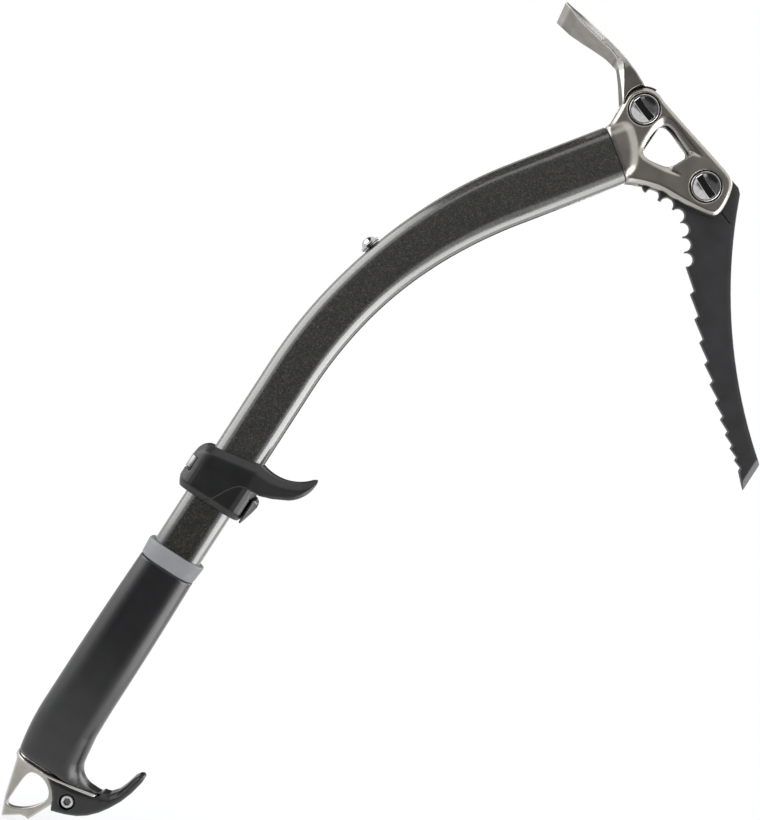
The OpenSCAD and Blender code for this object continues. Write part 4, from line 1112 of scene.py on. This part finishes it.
def trigger_field(x, y, z):
    shape = outline_field(trigger_outline, x, z)
    collar = outline_field(collar_plan, x, y)
    rest = np.maximum(outline_field(rest_plan, x, y), LIP + 15.8 - z)
    wide = np.minimum(collar, rest)
    band = np.maximum(wide, -outline_field(arch_outline, x, z))
    column = np.maximum(outline_field(column_plan, x, y) + 0.5, z - LIP - 22.0)
    band = np.where(y < 0, soft_min(band, column, 0.4), wide)
    fine = 1 - 0.75 * np.clip((x - 13.0) / 3.0, 0, 1) * np.clip((LIP + 15.0 - z) / 2.0, 0, 1)
    body = bevel_max(shape, band, 1.4 * fine, 1.5 * fine, 0.6)
    top = outline_field(top_outline, x, z)
    body = soft_max(body, bevel_plane(top, wide, 4.2, 2.8), 0.7)
    body = soft_max(body, bevel_plane(LIP - z, band, 3.4, 2.6), 0.6)
    hole = box_field(x, y, SHAFT_DEPTH / 2 + RUNNING_GAP, SHAFT_WIDTH / 2 + RUNNING_GAP,
                     SHAFT_CORNER + RUNNING_GAP)
    body = soft_max(body, -hole, 0.5)
    notch = np.minimum(np.maximum(x + 13.2, -6.7 - y), x + 16.4)
    body = soft_max(body, -np.maximum(np.abs(z - NOTCH_MIDDLE) - NOTCH_HALF, notch), 0.4)
    slit = np.maximum(np.abs(y - 8.3) - 0.6, x + 9.2)
    body = soft_max(body, -slit, 0.3)
    bore = np.maximum(np.hypot(x - PIN[0], y - PIN[1]) - PIN_BORE_R, z - LIP - 24.0)
    return soft_max(body, -bore, 0.2)


sculpt("trigger_collar", trigger_field, (-22, -14, LIP - 0.5), (43, 14, LIP + 43), 0.48, black_plastic,
       "trigger", "trigger_body")

# %% [markdown]
# ## The lever
# The lever is a plastic strip that lies along the far side of the collar and hooks round its front. It
# hangs on a steel strap, so its inner side has a shallow bed for the strap and a hole for the screw that
# sets the grip on the shaft.

# %% Lever
LEVER_IN, LEVER_OUT = SIDE_Y + 0.5, SIDE_Y + 4.3
LEVER_BACK, LEVER_FRONT = -12.2, FRONT_X + 0.5
LEVER_LOW = LIP + 0.2
SCREW = (-5.2, NOTCH_MIDDLE)
SCREW_R, SCREW_HEAD_R = 2.15, 3.9
lever_outer = belt_points([(LEVER_BACK + 1.8, LEVER_OUT - 1.8, 1.8), (LEVER_BACK + 1.8, -6.6, 1.8),
                           (LEVER_FRONT + 0.6, -8.0, 0.6), (LEVER_FRONT + 3.0, -3.8, 0.8),
                           (LEVER_FRONT - 5.2, LEVER_OUT - 9, 9)])
lever_inner = belt_points([(LEVER_BACK - 20, LEVER_IN - 1, 1), (LEVER_BACK - 20, -20, 1),
                           (LEVER_FRONT - 1, -20, 1), (LEVER_FRONT - 8, LEVER_IN - 8, 8)])
lever_side = raised(LEVER_LOW, [(LEVER_BACK, 0.0), (LEVER_FRONT + 1, 0.0), (LEVER_FRONT + 3.9, 10.2),
                                (LEVER_FRONT + 3.2, 13), (LEVER_FRONT + 1, 14.3), (LEVER_FRONT - 8, 16.4),
                                (LEVER_BACK, 16.4)])


def lever_field(x, y, z):
    strip = np.maximum(outline_field(lever_outer, x, y), -outline_field(lever_inner, x, y))
    body = bevel_max(outline_field(lever_side, x, z), strip, 0.7, 0.7, 0.5)
    bed = np.maximum(np.maximum(x - SCREW[0] - 8, y - LEVER_IN - 1.55), np.abs(z - SCREW[1]) - 3.75)
    body = soft_max(body, -bed, 0.2)
    r = np.hypot(x - SCREW[0], z - SCREW[1])
    hole = np.minimum(r - SCREW_R, np.maximum(r - SCREW_HEAD_R, LEVER_OUT - 1.4 - y))
    return soft_max(body, -hole, 0.25)


sculpt("lever_shell", lever_field, (-13, -10, LEVER_LOW - 0.5), (23, 18, LEVER_LOW + 17), 0.4, black_plastic,
       "lever", "lock_lever")

# %% [markdown]
# ## Small turned and stamped parts
# Pins, screws, washers, nuts and the hinge plate have the right shape in CAD already. Each gets its edges
# rounded with a Bevel modifier on a merged copy, because a real edge always catches a little light. To draw
# them again would only risk a different size.

# %% Softened parts
def soften(node, name, width, material, body):
    """A copy of a CAD node's mesh with its edges rounded, for small turned and stamped parts."""
    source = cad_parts[node]
    copy = bpy.data.objects.new(name + "_work", source.data.copy())
    scene.collection.objects.link(copy)
    weld = copy.modifiers.new("weld", "WELD")
    weld.merge_threshold = 2e-6
    flat = copy.modifiers.new("flat", "DECIMATE")
    flat.decimate_type = "DISSOLVE"
    flat.angle_limit = math.radians(1)
    edge = copy.modifiers.new("edge", "BEVEL")
    edge.width = width * MM
    edge.segments = 3
    edge.limit_method = "ANGLE"
    edge.angle_limit = math.radians(35)
    edge.harden_normals = False
    mesh = plain_mesh(copy)
    add_piece(name, mesh, material, body, [node])
    mesh.set_sharp_from_angle(angle=math.radians(38))


soften("hinge_plate", "hinge_strap", 0.25, strap_steel, "lever")
for node_name, name, width, body in (
        ("tension_screw", "tension_screw_head", 0.25, "lever"), ("lever_pin", "hinge_pin", 0.25, "trigger"),
        ("spike_pin", "tang_pin", 0.25, "tool"), ("hook_nut", "hook_hex_nut", 0.25, "tool"),
        ("leash_insert", "leash_bush", 0.2, "tool"), ("leash_washer", "leash_ring", 0.3, "tool"),
        ("leash_screw", "leash_dome", 0.2, "tool")):
    soften(node_name, name, width, bright_steel, body)

# %% [markdown]
# ## Stage
# The tool is shown on white. The floor and the world are white to the camera and in reflections, while an
# even, slightly blue sky lights the tool. Near the tool the floor lets its own shade through, so a soft
# shadow stays.

# %% Stage
def white_to_eye(tree, node, lit, white, end):
    """Leads one shader out for camera, glossy and transmission rays, another for the light on the tool."""
    path = node("LightPath").outputs
    seen = node("Math", {"operation": "MAXIMUM"}, i0=path["Is Camera Ray"], i1=path["Is Glossy Ray"])
    seen = node("Math", {"operation": "MAXIMUM"}, i0=seen.outputs[0], i1=path["Is Transmission Ray"])
    mix = node("MixShader", None, Fac=seen.outputs[0], i1=lit, i2=white)
    tree.links.new(mix.outputs[0], tree.nodes[end].inputs["Surface"])


world = bpy.data.worlds.new("white_studio")
scene.world = world
world.use_nodes = True
tree = world.node_tree
sky = tree.nodes["Background"]
sky.inputs["Color"].default_value = (0.95, 0.97, 1.0, 1)
sky.inputs["Strength"].default_value = 0.75
node = maker(tree, "ShaderNode")
white = node("Background", None, Color=(1, 1, 1, 1), Strength=1.0)
white_to_eye(tree, node, sky.outputs[0], white.outputs[0], "World Output")

FLOOR_HALF = 6.0
floor_height = cad_box[0].z - 0.0005


def flat_panel(name, half_x, half_y, where):
    """A rectangle for the stage."""
    mesh = bpy.data.meshes.new(name)
    corners = [(-half_x, -half_y, 0), (half_x, -half_y, 0), (half_x, half_y, 0), (-half_x, half_y, 0)]
    mesh.from_pydata(corners, [], [(0, 1, 2, 3)])
    mesh.transform(where)
    panel = bpy.data.objects.new(name, mesh)
    scene.collection.objects.link(panel)
    return panel


floor = flat_panel("floor", FLOOR_HALF, FLOOR_HALF, Matrix.Translation((0, 0, floor_height)))
pale, tree, matte, coords, node = new_finish("pale_floor", 0.0, 0.9)
matte.inputs["Base Color"].default_value = (0.86, 0.86, 0.86, 1)
away = node("VectorMath", {"operation": "LENGTH"}, i0=coords)
fade = node("MapRange", {"interpolation_type": "SMOOTHSTEP"}, Value=away.outputs["Value"],
            **{"From Min": 0.25, "From Max": 0.9, "To Min": 0.35, "To Max": 0.0})
glow = node("Emission")
shadow = node("MixShader", None, Fac=fade.outputs["Result"], i1=glow.outputs[0], i2=matte.outputs[0])
white_to_eye(tree, node, matte.outputs[0], shadow.outputs[0], "Material Output")
floor.data.materials.append(pale)
print("floor at", round(floor_height / MM, 1), "mm")

# %% [markdown]
# ## Lights
# A soft key and a fill light the tool, and they could do it alone. But gloss lives on what it mirrors, so
# bright panels that only reflections see stand at both sides, below on the right and above: they draw the
# lines along rounded edges. Dark cards in front, behind, at the upper left and on the floor keep faces
# towards the camera dark.

# %% Lights
def turned_to(place, target):
    """The turn of a lamp or a card at a place that faces a target."""
    return (Vector(target) - Vector(place)).to_track_quat("-Z", "Y")


def lamp(name, place, target, size, power, diffuse=True, glossy=True):
    """A rectangular lamp that the camera doesn't see."""
    light = bpy.data.lights.new(name, "AREA")
    light.shape = "RECTANGLE"
    light.size, light.size_y = size
    light.energy = power
    made = bpy.data.objects.new(name, light)
    made.location = place
    made.rotation_euler = turned_to(place, target).to_euler()
    scene.collection.objects.link(made)
    made.visible_camera = False
    made.visible_diffuse = diffuse
    made.visible_glossy = glossy


def dark_card(name, place, target, size, glow=0.0):
    """A dark card that only reflections see."""
    where = Matrix.Translation(place) @ turned_to(place, target).to_matrix().to_4x4()
    card = flat_panel(name, size[0] / 2, size[1] / 2, where)
    black, _, shader, _, _ = new_finish(name, 0.0, 0.5, 0.0)
    shader.inputs["Base Color"].default_value = (0.02, 0.02, 0.02, 1)
    shader.inputs["Emission Color"].default_value = (1, 1, 1, 1)
    shader.inputs["Emission Strength"].default_value = glow
    card.data.materials.append(black)
    card.visible_camera = False
    card.visible_diffuse = False
    card.visible_shadow = False


aim = (0.05, 0.0, 0.2)
dark_card("front_dark_card", (0.15, -2.2, 0.2), (0.15, 0.0, 0.2), (3.2, 2.8), 0.12)
dark_card("floor_dark_card", (0.05, -1.3, floor_height + 0.003), (0.05, -1.3, 1.0), (1.6, 2.0))
dark_card("upper_left_dark_card", (-1.36, 0.0, 1.5), aim, (2.4, 1.1))
dark_card("back_dark_card", (0.05, 2.2, 0.2), aim, (2.6, 2.8))
lamp("key_softbox", (-0.9, -1.1, 1.5), aim, (1.2, 1.2), 20.0, glossy=False)
lamp("fill_softbox", (0.8, 1.2, 0.9), aim, (1.2, 1.2), 12.0)
lamp("left_card", (-1.2, -0.15, 0.25), aim, (1.3, 1.5), 16.0, diffuse=False)
lamp("right_card", (1.3, -0.15, 0.15), aim, (1.3, 1.5), 26.0, diffuse=False)
lamp("low_right_card", (0.85, -0.1, floor_height + 0.001), (0.85, -0.1, 1.0), (0.8, 0.8), 6.0, diffuse=False)
lamp("top_card", (0.05, -0.1, 1.6), aim, (1.2, 1.2), 1.5, diffuse=False)
print("lamps:", [light.name for light in bpy.data.lights])

# %% [markdown]
# ## Camera
# The camera looks straight at the tool's near side and is rolled, so that the tool lies across the picture.

# %% Camera
DISTANCE = 0.8
PICTURE_HEIGHT = 0.4223
SENSOR = 36.0
ROLL = 90.0 - 57.1
MIDDLE_X, MIDDLE_Z = 0.0479, 0.1931
camera_data = bpy.data.cameras.new("view")
camera_data.sensor_width = SENSOR
camera_data.lens = SENSOR * DISTANCE / PICTURE_HEIGHT
camera_data.clip_start = 0.01
camera = bpy.data.objects.new("view", camera_data)
camera.location = (MIDDLE_X, -DISTANCE, MIDDLE_Z)
level = Matrix.Rotation(math.radians(90), 4, "X")
camera.rotation_euler = (level @ Matrix.Rotation(math.radians(ROLL), 4, "Z")).to_euler()
scene.collection.objects.link(camera)
scene.camera = camera
print("camera lens:", round(camera_data.lens, 1))

# %% [markdown]
# ## The end
# The view layer is brought up to date. The box of the dressed tool is measured and written down next to the
# CAD box, which it has to stay inside.

# %% The end
bpy.context.view_layer.update()
